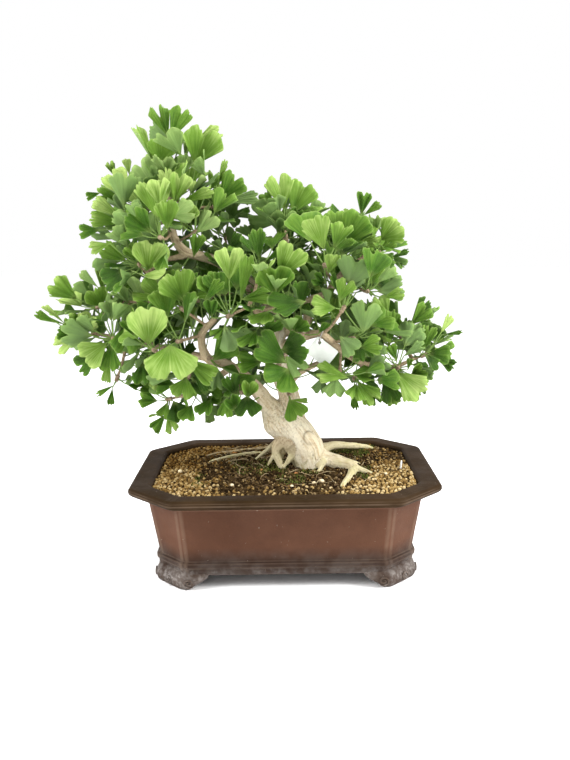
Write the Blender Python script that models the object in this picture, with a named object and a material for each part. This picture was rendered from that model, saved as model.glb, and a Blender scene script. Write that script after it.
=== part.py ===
"""A ginkgo bonsai in its glazed clay pot: pot, soil, wood, leaf sprays, drain screens and a blank tag.

Lengths are in millimetres and become metres when a mesh is made. X runs along the pot's long side,
-Y is the front and Z is up. Places are given from the middle of the pot's footprint. The finished
pieces are carried POT_PLACE to the right together, because the foliage reaches further to the left:
so the origin is under the middle of the whole object, at the height that it stands on.
"""

import math
import random

import bmesh
import bpy
import numpy as np
from mathutils import Matrix, Vector, noise
from mathutils.bvhtree import BVHTree

MM = 0.001
GAP = 0.3
POT_PLACE = 36.96

# Pot, measured over the rim
POT_LENGTH = 340.0
POT_WIDTH = 256.0
POT_HEIGHT = 108.0
CORNER_CUT = 46.0
CORNER_STEP = 5.0
CORNER_SHRINK = 0.586
FOOT_HEIGHT = 16.0
FLOOR_TOP = 27.0
DRAIN_RADIUS = 12.0
DRAIN_X = 62.0
SCREEN_SIDE = 38.0
SCREEN_THICK = 1.0

# Height and distance in from the rim's edge, up the outside, over the rim and down the inside
POT_PROFILE = (
    (FOOT_HEIGHT, 30.0), (24.0, 29.0), (24.8, 27.4), (30.0, 27.0), (31.0, 30.6),
    (92.0, 20.5), (95.5, 17.0), (97.5, 6.0), (100.0, 1.4), (103.0, 0.0),
    (106.4, 0.8), (POT_HEIGHT, 3.2), (POT_HEIGHT, 21.5), (106.0, 24.5), (96.0, 26.0),
    (FLOOR_TOP, 38.0),
)
# Height, distance in from the rim's edge and reach along each side of a foot, top to bottom
FOOT_PROFILE = (
    (FOOT_HEIGHT + 3.0, 30.5, 30.0), (12.0, 26.6, 27.0), (7.0, 26.2, 20.0),
    (2.5, 27.6, 13.0), (0.0, 30.0, 9.0),
)
FOOT_DEPTH = 20.0

# Soil: a granular bed, highest round the trunk
SOIL_EDGE_Z = 103.0
SOIL_MOUND = 6.5
MOUND_X = 28.0
MOUND_REACH_X = 95.0
MOUND_REACH_Y = 70.0
SOIL_GRAIN = 1.7
LUMP_SCALE = 0.055
GRAIN_SCALE = 0.21
SOIL_CELLS = (22, 15)
SOIL_MARGIN = 20.0
ROOT_ROOM = 0.55

# The eye that the tree's places are sighted from, straight in front of it
EYE = Vector((0.0, -938.0, 386.0))

# Each limb: places sighted on the plane through the trunk (x, z), the depth y there, and a radius
LIMBS = {
    "trunk": ((33, 74, 2, 15), (31, 96, 0, 18), (29, 114, -2, 20), (23, 132, -3, 21),
              (11, 148, -3, 21.5), (0, 162, -2, 20), (-6, 172, -1, 13)),
    "leader": ((14, 150, -2, 15), (9, 174, 0, 13), (5, 196, 0, 12), (-4, 220, -2, 11),
               (-9, 240, -4, 12), (-9, 255, -8, 11.5), (-6, 274, 0, 9), (-16, 298, 5, 7.5),
               (-38, 322, 6, 6.5), (-72, 345, 4, 5.8), (-108, 357, 0, 5.2), (-121, 378, 0, 4.6),
               (-123, 402, 2, 3.6), (-119, 426, 4, 2.4)),
    "left_branch": ((-2, 158, -4, 12), (-13, 176, -5, 10.5), (-24, 190, -6, 9), (-40, 210, -14, 7),
                    (-62, 227, -25, 5.8), (-86, 236, -38, 5), (-92, 262, -40, 4.2),
                    (-76, 281, -52, 3.4)),
    "left_long": ((-82, 235, -36, 4.4), (-128, 247, -20, 3.6), (-176, 258, -12, 3), (-212, 266, -7, 2.2)),
    "left_low": ((-58, 226, -24, 4), (-90, 204, -15, 3), (-118, 192, -8, 2.1)),
    "left_middle": ((-36, 320, 6, 4.6), (-78, 306, 10, 4), (-120, 300, 8, 3.3), (-168, 300, 4, 2.7),
                    (-192, 301, 2, 2.1)),
    "upper_left": ((-98, 353, 0, 4), (-132, 346, -8, 3), (-152, 332, -14, 2.3)),
    "top_right": ((-12, 292, 4, 5.6), (4, 326, 8, 4.8), (6, 356, 6, 3.6), (4, 376, 2, 2.6)),
    "right": ((-8, 262, -4, 6.4), (26, 274, -14, 5.4), (28, 297, -22, 4.8), (50, 308, -25, 4.3),
              (68, 330, -20, 3.5), (92, 348, -8, 2.6)),
    "right_low": ((-6, 246, -6, 6), (24, 259, -34, 4.8), (44, 261, -50, 4.2), (66, 243, -40, 3.8),
                  (92, 227, -32, 3.3), (124, 223, -15, 2.7), (148, 231, -8, 2.1)),
    "front": ((-8, 262, -6, 5.4), (-24, 284, -40, 3.8), (-38, 294, -66, 2.4)),
    "back_left": ((-20, 304, 6, 5), (-58, 315, 50, 3.8), (-96, 320, 92, 2.6)),
    "back_right": ((-8, 270, 0, 5.6), (20, 286, 50, 4.2), (44, 300, 96, 2.8)),
    "back_low": ((4, 204, 2, 5.4), (22, 220, 45, 4), (60, 236, 84, 2.8)),
    "back_low_left": ((-30, 199, -8, 5), (-56, 222, 34, 3.6), (-94, 240, 72, 2.6)),
    "right_root": ((34, 118, -2, 13), (54, 112, -4, 10.5), (74, 107, -13, 8), (85, 100, -27, 5.6)),
    "front_fork": ((80, 101, -24, 5.4), (75, 92, -46, 4), (68, 83, -70, 3), (66, 73, -82, 2)),
    "side_fork": ((80, 104, -20, 5), (97, 98, -29, 3.2), (112, 89, -34, 2)),
    "back_root": ((32, 122, 4, 9), (54, 131, 26, 5), (75, 131, 54, 4), (95, 129, 82, 3), (108, 124, 90, 2)),
    "left_root": ((24, 96, 4, 8), (0, 108, 44, 3), (-30, 123, 62, 2.6), (-82, 115, 34, 2.2),
                  (-92, 104, 28, 1.6)),
    "left_strut": ((2, 142, -6, 7), (-10, 129, -9, 5), (-6, 112, -13, 4.2), (2, 97, -15, 3)),
}
HEAVY_LIMBS = ("trunk", "leader")
ROOTS = ("trunk", "right_root", "front_fork", "side_fork", "back_root", "left_root", "left_strut")

# Each spray: where its short shoot sits (x, z, y), how many more leaves fill it, and the leaves that
# face the front. A leaf is the base of its blade (x, z), the middle of its margin (x, z), half its
# spread in degrees, its curl (1 flat, 0.35 a funnel), its turn about its own length and how far its
# tip lies behind its base.
SPRAYS = {
    "apex": ((-118, 436, 2), 1, (
        (-121, 479, -133, 511, 25, 0.9, 25, 6), (-119, 476, -103, 509, 25, 0.85, -20, 4),
        (-131, 451, -128, 479, 52, 0.75, 10, -6), (-121, 474, -139, 493, 34, 0.8, 160, 14),
        (-138, 452, -158, 491, 26, 0.6, 70, -4))),
    "crown_right": ((-97, 424, 8), 2, (
        (-93, 449, -79, 489, 48, 0.62, 5, -8), (-103, 425, -98, 453, 50, 0.8, -15, 8))),
    "crown_front": ((-114, 398, -34), 2, (
        (-117, 408, -109, 442, 30, 0.7, 20, -8), (-111, 409, -76, 424, 20, 0.6, 50, -6),
        (-119, 414, -128, 446, 24, 0.8, -40, 2))),
    "neck_right": ((-72, 404, 10), 1, (
        (-70, 424, -60, 454, 15, 0.8, 60, 0), (-66, 411, -46, 438, 36, 0.85, 10, 6),
        (-66, 409, -25, 415, 13, 0.9, 160, -8), (-78, 422, -72, 441, 34, 0.6, 20, 10))),
    "crown_left": ((-150, 404, -6), 1, (
        (-137, 424, -156, 454, 40, 0.8, 165, 10), (-166, 414, -187, 444, 32, 0.75, 10, -4),
        (-170, 419, -197, 432, 22, 0.8, 150, 8), (-172, 413, -203, 420, 26, 0.7, -20, -8))),
    "shoulder": ((-167, 387, -14), 1, (
        (-176, 394, -206, 413, 20, 0.8, 30, -2), (-174, 388, -211, 394, 19, 0.7, 20, -6),
        (-181, 371, -210, 381, 24, 0.7, 165, 2), (-146, 400, -168, 421, 16, 0.8, 40, 8))),
    "crown_low": ((-134, 372, -56), 2, (
        (-144, 377, -166, 402, 44, 0.5, -12, -10), (-136, 392, -143, 433, 36, 0.8, 15, 14),
        (-126, 380, -127, 413, 30, 0.55, 10, -14))),
    "neck_low": ((-96, 377, -26), 3, (
        (-110, 385, -101, 410, 40, 0.7, 5, -8), (-94, 376, -74, 398, 34, 0.8, 160, 4),
        (-98, 350, -92, 376, 26, 0.6, 20, -6))),
    "upper_left": ((-158, 342, -34), 2, (
        (-172, 346, -200, 362, 24, 0.8, 10, -2), (-168, 350, -186, 360, 20, 0.7, 150, 8),
        (-158, 346, -172, 364, 28, 0.8, 0, -4), (-150, 336, -144, 370, 48, 0.75, 10, -10),
        (-168, 341, -198, 342, 13, 0.8, 60, 0))),
    "left_back": ((-162, 308, 14), 2, (
        (-162, 318, -185, 326, 27, 0.8, 0, -4), (-162, 304, -184, 312, 24, 0.8, 160, 6),
        (-155, 298, -155, 330, 46, 0.75, 170, -24))),
    "left_middle": ((-112, 292, -62), 2, (
        (-111, 300, -124, 335, 50, 0.8, 10, -6), (-113, 296, -147, 308, 13, 0.8, 30, -10))),
    "far_left_top": ((-206, 296, -2), 1, (
        (-230, 305, -258, 324, 34, 0.7, 15, 0), (-206, 318, -225, 335, 15, 0.7, 160, 6),
        (-201, 310, -204, 343, 14, 0.8, 40, 4), (-202, 296, -213, 317, 42, 0.75, 0, -14),
        (-193, 288, -189, 312, 34, 0.8, 165, 8))),
    "far_left": ((-228, 262, -6), 1, (
        (-231, 267, -243, 287, 32, 0.55, 15, -14), (-227, 266, -214, 288, 34, 0.6, -12, -12),
        (-231, 262, -256, 268, 27, 0.7, 20, -6), (-247, 279, -269, 298, 16, 0.7, 60, 8),
        (-246, 277, -274, 286, 10, 0.8, 40, 6))),
    "left_low": ((-192, 260, -26), 2, (
        (-200, 255, -229, 236, 42, 0.75, -8, -8), (-194, 254, -199, 222, 32, 0.8, 20, -12),
        (-197, 240, -203, 209, 14, 0.8, 30, 4), (-174, 276, -180, 242, 40, 0.85, 10, -14))),
    "left_front": ((-146, 246, -66), 1, (
        (-152, 252, -153, 297, 44, 0.5, 0, -16), (-168, 262, -178, 282, 30, 0.7, 20, 8))),
    "left_fan": ((-118, 256, -72), 1, (
        (-128, 252, -128, 209, 60, 0.9, 4, -16), (-112, 236, -78, 212, 22, 0.8, 15, -6),
        (-107, 232, -86, 197, 13, 0.7, 30, -8))),
    "left_under": ((-150, 236, -24), 1, (
        (-160, 234, -162, 206, 34, 0.8, 10, -6), (-142, 229, -143, 200, 30, 0.8, -15, -2),
        (-172, 228, -186, 222, 20, 0.8, 160, 4))),
    "left_hanging": ((-190, 214, -10), 0, (
        (-194, 206, -214, 195, 14, 0.7, 40, 0), (-196, 203, -199, 183, 16, 0.7, 20, -6))),
    "low_left": ((-132, 189, -8), 0, (
        (-145, 187, -166, 191, 40, 0.8, 10, 0), (-134, 185, -139, 166, 34, 0.8, 15, 6),
        (-127, 187, -117, 163, 46, 0.85, -5, -8), (-134, 173, -128, 149, 24, 0.8, 20, -14),
        (-141, 172, -156, 169, 12, 0.7, 60, 4))),
    "low_left_inner": ((-108, 216, -38), 1, (
        (-111, 214, -118, 189, 50, 0.85, 5, -6), (-104, 212, -98, 192, 36, 0.8, 20, 6))),
    "centre": ((-60, 284, -84), 0, (
        (-59, 324, -58, 361, 36, 0.75, 8, -4), (-47, 299, -38, 351, 12, 0.7, 25, -8),
        (-46, 302, -12, 308, 22, 0.7, 30, -14), (-88, 300, -68, 324, 16, 0.6, 10, -6),
        (-80, 282, -80, 303, 34, 0.5, -10, -4), (-66, 273, -50, 247, 42, 0.8, 165, 6))),
    "centre_high": ((-24, 336, -66), 1, (
        (-25, 344, -28, 380, 20, 0.6, 15, -4), (-20, 342, 6, 363, 15, 0.7, 40, -8),
        (-32, 330, -22, 341, 20, 0.8, 20, -6))),
    "centre_right": ((4, 300, -70), 1, (
        (-4, 326, 17, 362, 32, 0.85, 0, -10), (-8, 306, -8, 339, 42, 0.85, 6, -22),
        (26, 299, -14, 292, 34, 0.7, 40, -18))),
    "heart": ((4, 240, -64), 0, (
        (4, 229, -34, 252, 34, 0.5, 30, -22), (-22, 262, -6, 281, 32, 0.45, 20, -14),
        (-2, 244, 28, 250, 44, 0.8, 8, -16), (2, 238, 23, 217, 34, 0.85, 165, -8))),
    "heart_right": ((22, 262, -58), 1, (
        (12, 264, 25, 280, 46, 0.8, 10, -4), (40, 262, 50, 275, 16, 0.6, 30, -14))),
    "front_low": ((-6, 226, -62), 0, (
        (6, 222, -14, 201, 54, 0.8, 4, -26),)),
    "funnels": ((-48, 196, -66), 0, (
        (-40, 190, -39, 211, 44, 0.36, 10, -14), (-55, 191, -62, 217, 32, 0.75, 10, -4),
        (-56, 177, -64, 192, 44, 0.4, 10, -14), (-42, 192, -43, 166, 50, 0.85, 0, -16))),
    "trunk_right": ((6, 193, -36), 0, (
        (6, 187, 18, 163, 44, 0.85, 0, -6), (8, 186, 28, 185, 12, 0.8, 20, -4))),
    "left_centre": ((-84, 236, -58), 0, (
        (-80, 233, -56, 257, 32, 0.75, 5, -10), (-76, 226, -76, 198, 30, 0.8, 165, 10))),
    "top_right": ((4, 386, 0), 1, (
        (3, 400, -4, 438, 32, 0.8, 12, 0), (12, 396, 28, 429, 40, 0.75, -6, 6),
        (-4, 386, -36, 399, 42, 0.8, 165, 10), (10, 382, 20, 402, 34, 0.8, 20, -8))),
    "right_centre": ((48, 338, -58), 2, (
        (47, 356, 35, 393, 32, 0.8, -5, -2), (48, 318, 34, 326, 30, 0.7, 10, -12),
        (52, 330, 58, 352, 30, 0.7, 20, -8))),
    "right_high": ((68, 346, -26), 1, (
        (62, 370, 58, 399, 42, 0.75, 10, 8), (69, 361, 90, 395, 36, 0.8, -5, -8),
        (72, 357, 108, 367, 16, 0.7, 35, -8))),
    "right_top": ((88, 376, 6), 0, (
        (88, 393, 92, 419, 24, 0.8, 10, 4), (91, 393, 109, 406, 17, 0.8, 20, -4))),
    "right_shoulder": ((106, 352, -16), 2, (
        (110, 366, 132, 384, 48, 0.75, 0, -12), (107, 353, 126, 366, 24, 0.7, 20, -4),
        (118, 345, 141, 354, 12, 0.7, 40, 0))),
    "right_middle": ((94, 310, -56), 2, (
        (100, 316, 105, 343, 30, 0.75, 10, -8), (106, 309, 137, 313, 34, 0.85, 165, 2),
        (86, 318, 84, 346, 44, 0.8, 10, 4), (99, 334, 126, 344, 25, 0.8, 20, 10))),
    "right_front": ((68, 290, -72), 2, (
        (60, 291, 32, 293, 30, 0.7, 20, -14), (91, 262, 95, 298, 36, 0.85, 170, -8),
        (64, 298, 74, 324, 32, 0.8, 10, -4))),
    "right_end_top": ((134, 256, -6), 1, (
        (145, 271, 165, 292, 30, 0.75, 5, 0), (120, 244, 123, 288, 18, 0.7, 30, 6),
        (126, 262, 129, 279, 32, 0.7, 0, -10))),
    "right_end": ((160, 236, -8), 0, (
        (159, 240, 167, 270, 22, 0.8, 10, -2), (165, 238, 191, 235, 34, 0.8, -5, -6),
        (154, 240, 134, 258, 40, 0.85, 165, -8), (178, 260, 190, 281, 17, 0.7, 30, 6),
        (180, 259, 203, 262, 9, 0.8, 40, 4))),
    "right_low_front": ((78, 256, -66), 2, (
        (87, 246, 112, 251, 36, 0.75, 5, -8), (64, 259, 84, 240, 38, 0.85, 170, -4),
        (82, 262, 96, 232, 30, 0.8, 20, 4))),
    "right_low_end": ((130, 222, -28), 0, (
        (142, 219, 144, 233, 22, 0.7, 20, 4), (129, 217, 159, 189, 36, 0.75, 0, -10),
        (146, 214, 162, 222, 36, 0.5, 20, -14), (115, 213, 126, 181, 27, 0.8, 10, 4))),
    "right_low": ((82, 212, -38), 0, (
        (84, 206, 107, 183, 32, 0.8, 15, -4), (80, 200, 82, 174, 14, 0.7, 30, 6))),
    "right_under": ((64, 216, -56), 0, (
        (74, 211, 38, 220, 24, 0.8, 15, -10), (60, 212, 58, 188, 46, 0.85, 165, -4),
        (44, 212, 41, 193, 34, 0.8, 170, 8))),
    "back_crown": ((-120, 404, 44), 9, ()),
    "back_neck": ((-62, 372, 62), 9, ()),
    "back_left_high": ((-150, 338, 44), 9, ()),
    "back_far_left": ((-202, 286, 46), 9, ()),
    "back_left": ((-110, 300, 96), 9, ()),
    "back_middle": ((-44, 318, 100), 9, ()),
    "back_top": ((16, 352, 64), 9, ()),
    "back_right": ((68, 322, 84), 9, ()),
    "back_right_low": ((84, 256, 78), 9, ()),
    "back_right_end": ((134, 258, 44), 9, ()),
    "back_low_left": ((-110, 240, 68), 9, ()),
}

# Foliage pads that the filling leaves stay in: middle (x, z, y) and half sizes (x, z, y)
PADS = (
    (-118, 452, 0, 44, 50, 46), (-136, 402, 0, 72, 46, 72), (-60, 408, 8, 34, 30, 50),
    (-160, 335, 0, 44, 36, 70), (-212, 282, 0, 46, 44, 52), (-134, 290, 8, 74, 54, 96),
    (-150, 226, -2, 38, 32, 56), (-40, 300, 0, 74, 74, 120), (6, 392, 2, 44, 40, 62),
    (82, 344, 4, 54, 54, 88), (78, 258, 6, 70, 50, 92), (146, 248, 4, 44, 36, 56),
    (-46, 204, -4, 38, 30, 84), (128, 208, -4, 40, 26, 46),
)
# What stays in view from the front: left, bottom, right and top of each window
CLEAR_VIEWS = (
    (-30, 95, 70, 164), (-34, 160, 26, 201), (-22, 215, 4, 267), (29, 225, 64, 258), (-97, 236, -68, 286),
)

# Leaves: a fan's outline, then how the filling leaves are drawn round a shoot
SEED = 11
NOTCH_WIDTH = 0.12
SIDE_DROOP = 0.15
RIPPLE = 0.03
STALK_SAG = 0.06
SET_FORWARD = 4.0
STALK_RADIUS = 0.95
BLADE_THICK = 0.75
FRONT_STEPS = (-1.0, -0.62, -0.22, 0.0, 0.22, 0.62, 1.0)
FILL_STEPS = (-1.0, -0.4, 0.0, 0.4, 1.0)
TEST_THICK = 1.9
TEST_STALK = 1.6
TEST_GROWTH = 1.03
FILL_TRIES = 60
FILL_REACH = (29.0, 40.0)
FILL_STALK = (16.0, 34.0)
FILL_SPREAD = (34.0, 54.0)
FILL_AWAY = 0.55
FILL_ALONG = 0.35
FILL_RISE = 0.25
FILL_WILD = 0.95
FILL_NOD = 0.35
FILL_TURN = 28.0
CROWN_MIDDLE = Vector((-20.0, 0.0, 250.0))
VIEW_DEPTH = 25.0
SHIFTS = (0, 5, -5, 10, -10, 15, -15, 21, -21, 27, -27, 34, -34, 42, 50)
SHOOT_RADIUS = 2.5
STALK_INSET = 0.8
SHOOT_BACK = 4.0
SHOOT_FRONT = 3.0
TWIG_RADIUS = 1.8
TWIG_ROOT_RADIUS = 2.4
TWIG_SAG = 0.08
TWIG_BEND = 0.55
STRAIGHT_TWIG = 34.0
TWIG_CLEARANCE = 9.0
TWIG_CHOICES = 40

# The blank tag and the wire ring that it hangs from, round one place of a limb
TAG_LIMB = "right_low"
TAG_PLACE = 2
TAG_SIZE = (28.0, 0.8, 22.0)
TAG_TURN = 38.0
TAG_HOLE = 2.6
TAG_MARGIN = 4.8
RING_RADIUS = 10.0
RING_WIRE = 0.7
RING_FORWARD = 0.75
RING_STEPS = 20

COLOURS = {
    "glazed_clay": ((0.145, 0.075, 0.046), 0.42, 0.0),
    "soil": ((0.17, 0.115, 0.055), 0.95, 0.0),
    "bark": ((0.66, 0.58, 0.42), 0.85, 0.0),
    "leaf": ((0.16, 0.28, 0.055), 0.5, 0.0),
    "tag": ((0.85, 0.85, 0.84), 0.6, 0.0),
    "wire": ((0.35, 0.33, 0.3), 0.35, 0.9),
    "mesh_plastic": ((0.03, 0.03, 0.03), 0.6, 0.0),
}


def clear_scene():
    for obj in list(bpy.data.objects):
        bpy.data.objects.remove(obj, do_unlink=True)


def new_collection(name):
    collection = bpy.data.collections.new(name)
    bpy.context.scene.collection.children.link(collection)
    return collection


def material(kind, name):
    """A Principled material of one of the object's finishes, for one sub-part."""
    colour, roughness, metallic = COLOURS[kind]
    made = bpy.data.materials.new(f"{kind}_{name}")
    made.use_nodes = True
    shader = made.node_tree.nodes["Principled BSDF"]
    shader.inputs["Base Color"].default_value = (*colour, 1.0)
    shader.inputs["Roughness"].default_value = roughness
    shader.inputs["Metallic"].default_value = metallic
    return made


def mesh_object(name, points, faces, collection):
    """An object from points in millimetres, its faces turned outwards."""
    bm = bmesh.new()
    verts = [bm.verts.new(Vector(p) * MM) for p in points]
    for face in faces:
        bm.faces.new([verts[i] for i in face])
    bmesh.ops.recalc_face_normals(bm, faces=bm.faces)
    mesh = bpy.data.meshes.new(name)
    bm.to_mesh(mesh)
    bm.free()
    obj = bpy.data.objects.new(name, mesh)
    collection.objects.link(obj)
    return obj


def box(name, size, centre, collection):
    """A plain block, from its size and the place of its middle in millimetres."""
    bm = bmesh.new()
    bmesh.ops.create_cube(bm, size=1.0)
    bmesh.ops.scale(bm, vec=Vector(size) * MM, verts=bm.verts)
    bmesh.ops.translate(bm, vec=Vector(centre) * MM, verts=bm.verts)
    mesh = bpy.data.meshes.new(name)
    bm.to_mesh(mesh)
    bm.free()
    obj = bpy.data.objects.new(name, mesh)
    collection.objects.link(obj)
    return obj


def ring_loft(name, rings, collection):
    """A closed solid through rings of equally many points, capped at both ends."""
    count = len(rings[0])
    points = [p for ring in rings for p in ring]
    faces = []
    for k in range(len(rings) - 1):
        for i in range(count):
            j = (i + 1) % count
            faces.append((k * count + i, k * count + j, (k + 1) * count + j, (k + 1) * count + i))
    faces.append(tuple(range(count)))
    faces.append(tuple(range((len(rings) - 1) * count, len(rings) * count)))
    return mesh_object(name, points, faces, collection)


def apply_modifiers(obj):
    """Puts an object's evaluated mesh in place of its mesh and modifiers."""
    graph = bpy.context.evaluated_depsgraph_get()
    mesh = bpy.data.meshes.new_from_object(obj.evaluated_get(graph))
    obj.modifiers.clear()
    obj.data = mesh


def boolean(obj, operation, other=None, collection=None, solver="EXACT"):
    """Cuts or joins with one object, or with every object of a collection, and removes what was used."""
    modifier = obj.modifiers.new(operation.title(), "BOOLEAN")
    modifier.operation = operation
    modifier.solver = solver
    if collection:
        modifier.operand_type = "COLLECTION"
        modifier.collection = collection
    else:
        modifier.object = other
    apply_modifiers(obj)
    for used in list(collection.objects) if collection else [other]:
        bpy.data.objects.remove(used, do_unlink=True)


def sighted(x, z, y=0.0):
    """The place at depth y that shows at (x, z) on the plane through the trunk, seen from the eye."""
    return EYE + (Vector((x, 0.0, z)) - EYE) * ((y - EYE.y) / -EYE.y)


def shows_at(point):
    """Where a place shows on the plane through the trunk."""
    seen = EYE + (Vector(point) - EYE) * (-EYE.y / (point[1] - EYE.y))
    return seen.x, seen.z


def corner_outline(inset, z):
    """The pot's plan at a distance in from the rim's edge: a rectangle with stepped, cut corners."""
    half_x = POT_LENGTH / 2 - inset
    half_y = POT_WIDTH / 2 - inset
    cut = CORNER_CUT - CORNER_SHRINK * inset
    step = CORNER_STEP
    corner = (
        (half_x - cut - step, half_y), (half_x - cut, half_y - step * 0.7),
        (half_x - step * 0.7, half_y - cut), (half_x, half_y - cut - step),
    )
    quarters = []
    for sign_x, sign_y in ((1, 1), (1, -1), (-1, -1), (-1, 1)):
        points = [(sign_x * x, sign_y * y, z) for x, y in corner]
        quarters += points if sign_x * sign_y > 0 else points[::-1]
    return quarters


def make_foot(sign_x, sign_y, collection):
    """One bulging foot that wraps a corner of the pot."""
    rings = []
    for z, inset, reach in FOOT_PROFILE:
        half_x = POT_LENGTH / 2 - inset
        half_y = POT_WIDTH / 2 - inset
        cut = CORNER_CUT - CORNER_SHRINK * inset
        plan = (
            (half_x - cut - reach, half_y), (half_x - cut, half_y), (half_x, half_y - cut),
            (half_x, half_y - cut - reach), (half_x - FOOT_DEPTH, half_y - cut - reach),
            (half_x - cut - reach, half_y - FOOT_DEPTH),
        )
        rings.append([(sign_x * x, sign_y * y, z) for x, y in plan])
    return ring_loft("foot", rings, collection)


def make_pot(collection, cutters):
    """The clay pot: a hollow box with cut corners, four feet and two drain holes."""
    rings = [corner_outline(inset, z) for z, inset in POT_PROFILE]
    pot = ring_loft("pot", rings, collection)
    for sign_x, sign_y in ((1, 1), (1, -1), (-1, -1), (-1, 1)):
        boolean(pot, "UNION", make_foot(sign_x, sign_y, cutters))
    for side in (-1, 1):
        bpy.ops.mesh.primitive_cylinder_add(
            vertices=20, radius=DRAIN_RADIUS * MM, depth=4 * FOOT_HEIGHT * MM,
            location=(side * DRAIN_X * MM, 0, FOOT_HEIGHT * MM))
        boolean(pot, "DIFFERENCE", bpy.context.object)
    pot.data.materials.clear()
    pot.data.materials.append(material("glazed_clay", "pot"))
    return pot


def soil_height(x, y):
    """The bed's surface: a low mound round the trunk, with the lumps of its grains."""
    mound = SOIL_MOUND * math.exp(-((x - MOUND_X) / MOUND_REACH_X) ** 2 - (y / MOUND_REACH_Y) ** 2)
    lump = noise.noise(Vector((x * LUMP_SCALE, y * LUMP_SCALE, 3.0)))
    grain = noise.noise(Vector((x * GRAIN_SCALE, y * GRAIN_SCALE, 9.0)))
    return SOIL_EDGE_Z + mound + SOIL_GRAIN * (lump + grain)


def make_soil(collection, cutters):
    """The bed fills the pot up to just under its rim and is cut to the granular surface."""
    top = SOIL_EDGE_Z + 30.0
    inside = [(z, inset) for z, inset in POT_PROFILE[-2:]][::-1]
    rings = [corner_outline(inset + GAP, z + (GAP if z == FLOOR_TOP else 0)) for z, inset in inside]
    rings.append(corner_outline(inside[-1][1] + GAP, top))
    soil = ring_loft("soil", rings, collection)
    across, along = SOIL_CELLS
    half_x = POT_LENGTH / 2 - SOIL_MARGIN
    half_y = POT_WIDTH / 2 - SOIL_MARGIN
    points = []
    for layer in (0, 1):
        for j in range(along + 1):
            for i in range(across + 1):
                x = half_x * (2 * i / across - 1)
                y = half_y * (2 * j / along - 1)
                points.append((x, y, soil_height(x, y) if layer else 0.0))
    row = across + 1
    sheet = row * (along + 1)
    faces = []
    for j in range(along):
        for i in range(across):
            a = j * row + i
            faces.append((sheet + a, sheet + a + 1, sheet + a + row + 1))
            faces.append((sheet + a, sheet + a + row + 1, sheet + a + row))
    rim = (
        [i for i in range(across)] + [across + j * row for j in range(along)]
        + [along * row + i for i in range(across, 0, -1)] + [j * row for j in range(along, 0, -1)]
    )
    faces.append(tuple(rim))
    for k, a in enumerate(rim):
        b = rim[(k + 1) % len(rim)]
        faces.append((a, b, sheet + b, sheet + a))
    used = set(i for face in faces for i in face)
    order = {old: new for new, old in enumerate(sorted(used))}
    points = [points[old] for old in sorted(used)]
    faces = [tuple(order[i] for i in face) for face in faces]
    block = mesh_object("soil_relief", points, faces, cutters)
    boolean(soil, "INTERSECT", block)
    room = SCREEN_SIDE + 2 * GAP
    for side in (-1, 1):
        size = (room, room, 2 * (SCREEN_THICK + 2 * GAP))
        boolean(soil, "DIFFERENCE", box("pocket", size, (side * DRAIN_X, 0, FLOOR_TOP), cutters))
    boolean(soil, "DIFFERENCE", make_limbs("root_room", ROOTS, cutters, cutters, ROOT_ROOM))
    soil.data.materials.clear()
    soil.data.materials.append(material("soil", "bed"))
    return soil


def make_screens(collection):
    """The two mesh plates that keep the soil in over the drain holes."""
    for number, side in enumerate((-1, 1), 1):
        size = (SCREEN_SIDE, SCREEN_SIDE, SCREEN_THICK)
        place = (side * DRAIN_X, 0, FLOOR_TOP + GAP + SCREEN_THICK / 2)
        screen = box(f"drain_screen_{number}", size, place, collection)
        screen.data.materials.append(material("mesh_plastic", screen.name))


def tube(name, points, radii, resolution, collection):
    """A tapered tube through points in millimetres, as a closed mesh with its caps welded."""
    curve = bpy.data.curves.new(name, "CURVE")
    curve.dimensions = "3D"
    curve.bevel_depth = MM
    curve.bevel_resolution = resolution
    curve.use_fill_caps = True
    spline = curve.splines.new("POLY")
    spline.points.add(len(points) - 1)
    for spot, point, radius in zip(spline.points, points, radii):
        spot.co = (*(Vector(point) * MM), 1.0)
        spot.radius = radius
    guide = bpy.data.objects.new(name + "_guide", curve)
    collection.objects.link(guide)
    graph = bpy.context.evaluated_depsgraph_get()
    mesh = bpy.data.meshes.new_from_object(guide.evaluated_get(graph))
    bpy.data.objects.remove(guide, do_unlink=True)
    bm = bmesh.new()
    bm.from_mesh(mesh)
    bmesh.ops.remove_doubles(bm, verts=bm.verts, dist=0.01 * MM)
    bmesh.ops.recalc_face_normals(bm, faces=bm.faces)
    bm.to_mesh(mesh)
    bm.free()
    obj = bpy.data.objects.new(name, mesh)
    collection.objects.link(obj)
    return obj


def limb_path(name):
    """A limb's places in space and its radius at each."""
    places = LIMBS[name]
    return [sighted(x, z, y) for x, z, y, radius in places], [place[3] for place in places]


def limb_sides(name):
    """Bevel resolution: rounder sides on the thick wood."""
    thickest = max(place[3] for place in LIMBS[name])
    if name in HEAVY_LIMBS:
        return 3
    if thickest > 8:
        return 2
    return 1 if thickest > 5.2 else 0


def make_limbs(name, limbs, collection, cutters, extra=0.0):
    """Limbs grown into one another as one solid, each thicker by extra."""
    parts = new_collection(name + "_parts")
    made = []
    for limb in limbs:
        points, radii = limb_path(limb)
        if extra:
            start = (points[0] - points[1]).normalized()
            end = (points[-1] - points[-2]).normalized()
            points = [points[0] + start * extra, *points[1:-1], points[-1] + end * extra]
            radii = [radius + extra for radius in radii]
        holder = cutters if not made else parts
        made.append(tube(limb, points, radii, limb_sides(limb), holder))
    body = made[0]
    body.name = name
    boolean(body, "UNION", collection=parts)
    bpy.data.collections.remove(parts)
    if collection is not cutters:
        cutters.objects.unlink(body)
        collection.objects.link(body)
    return body


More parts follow.
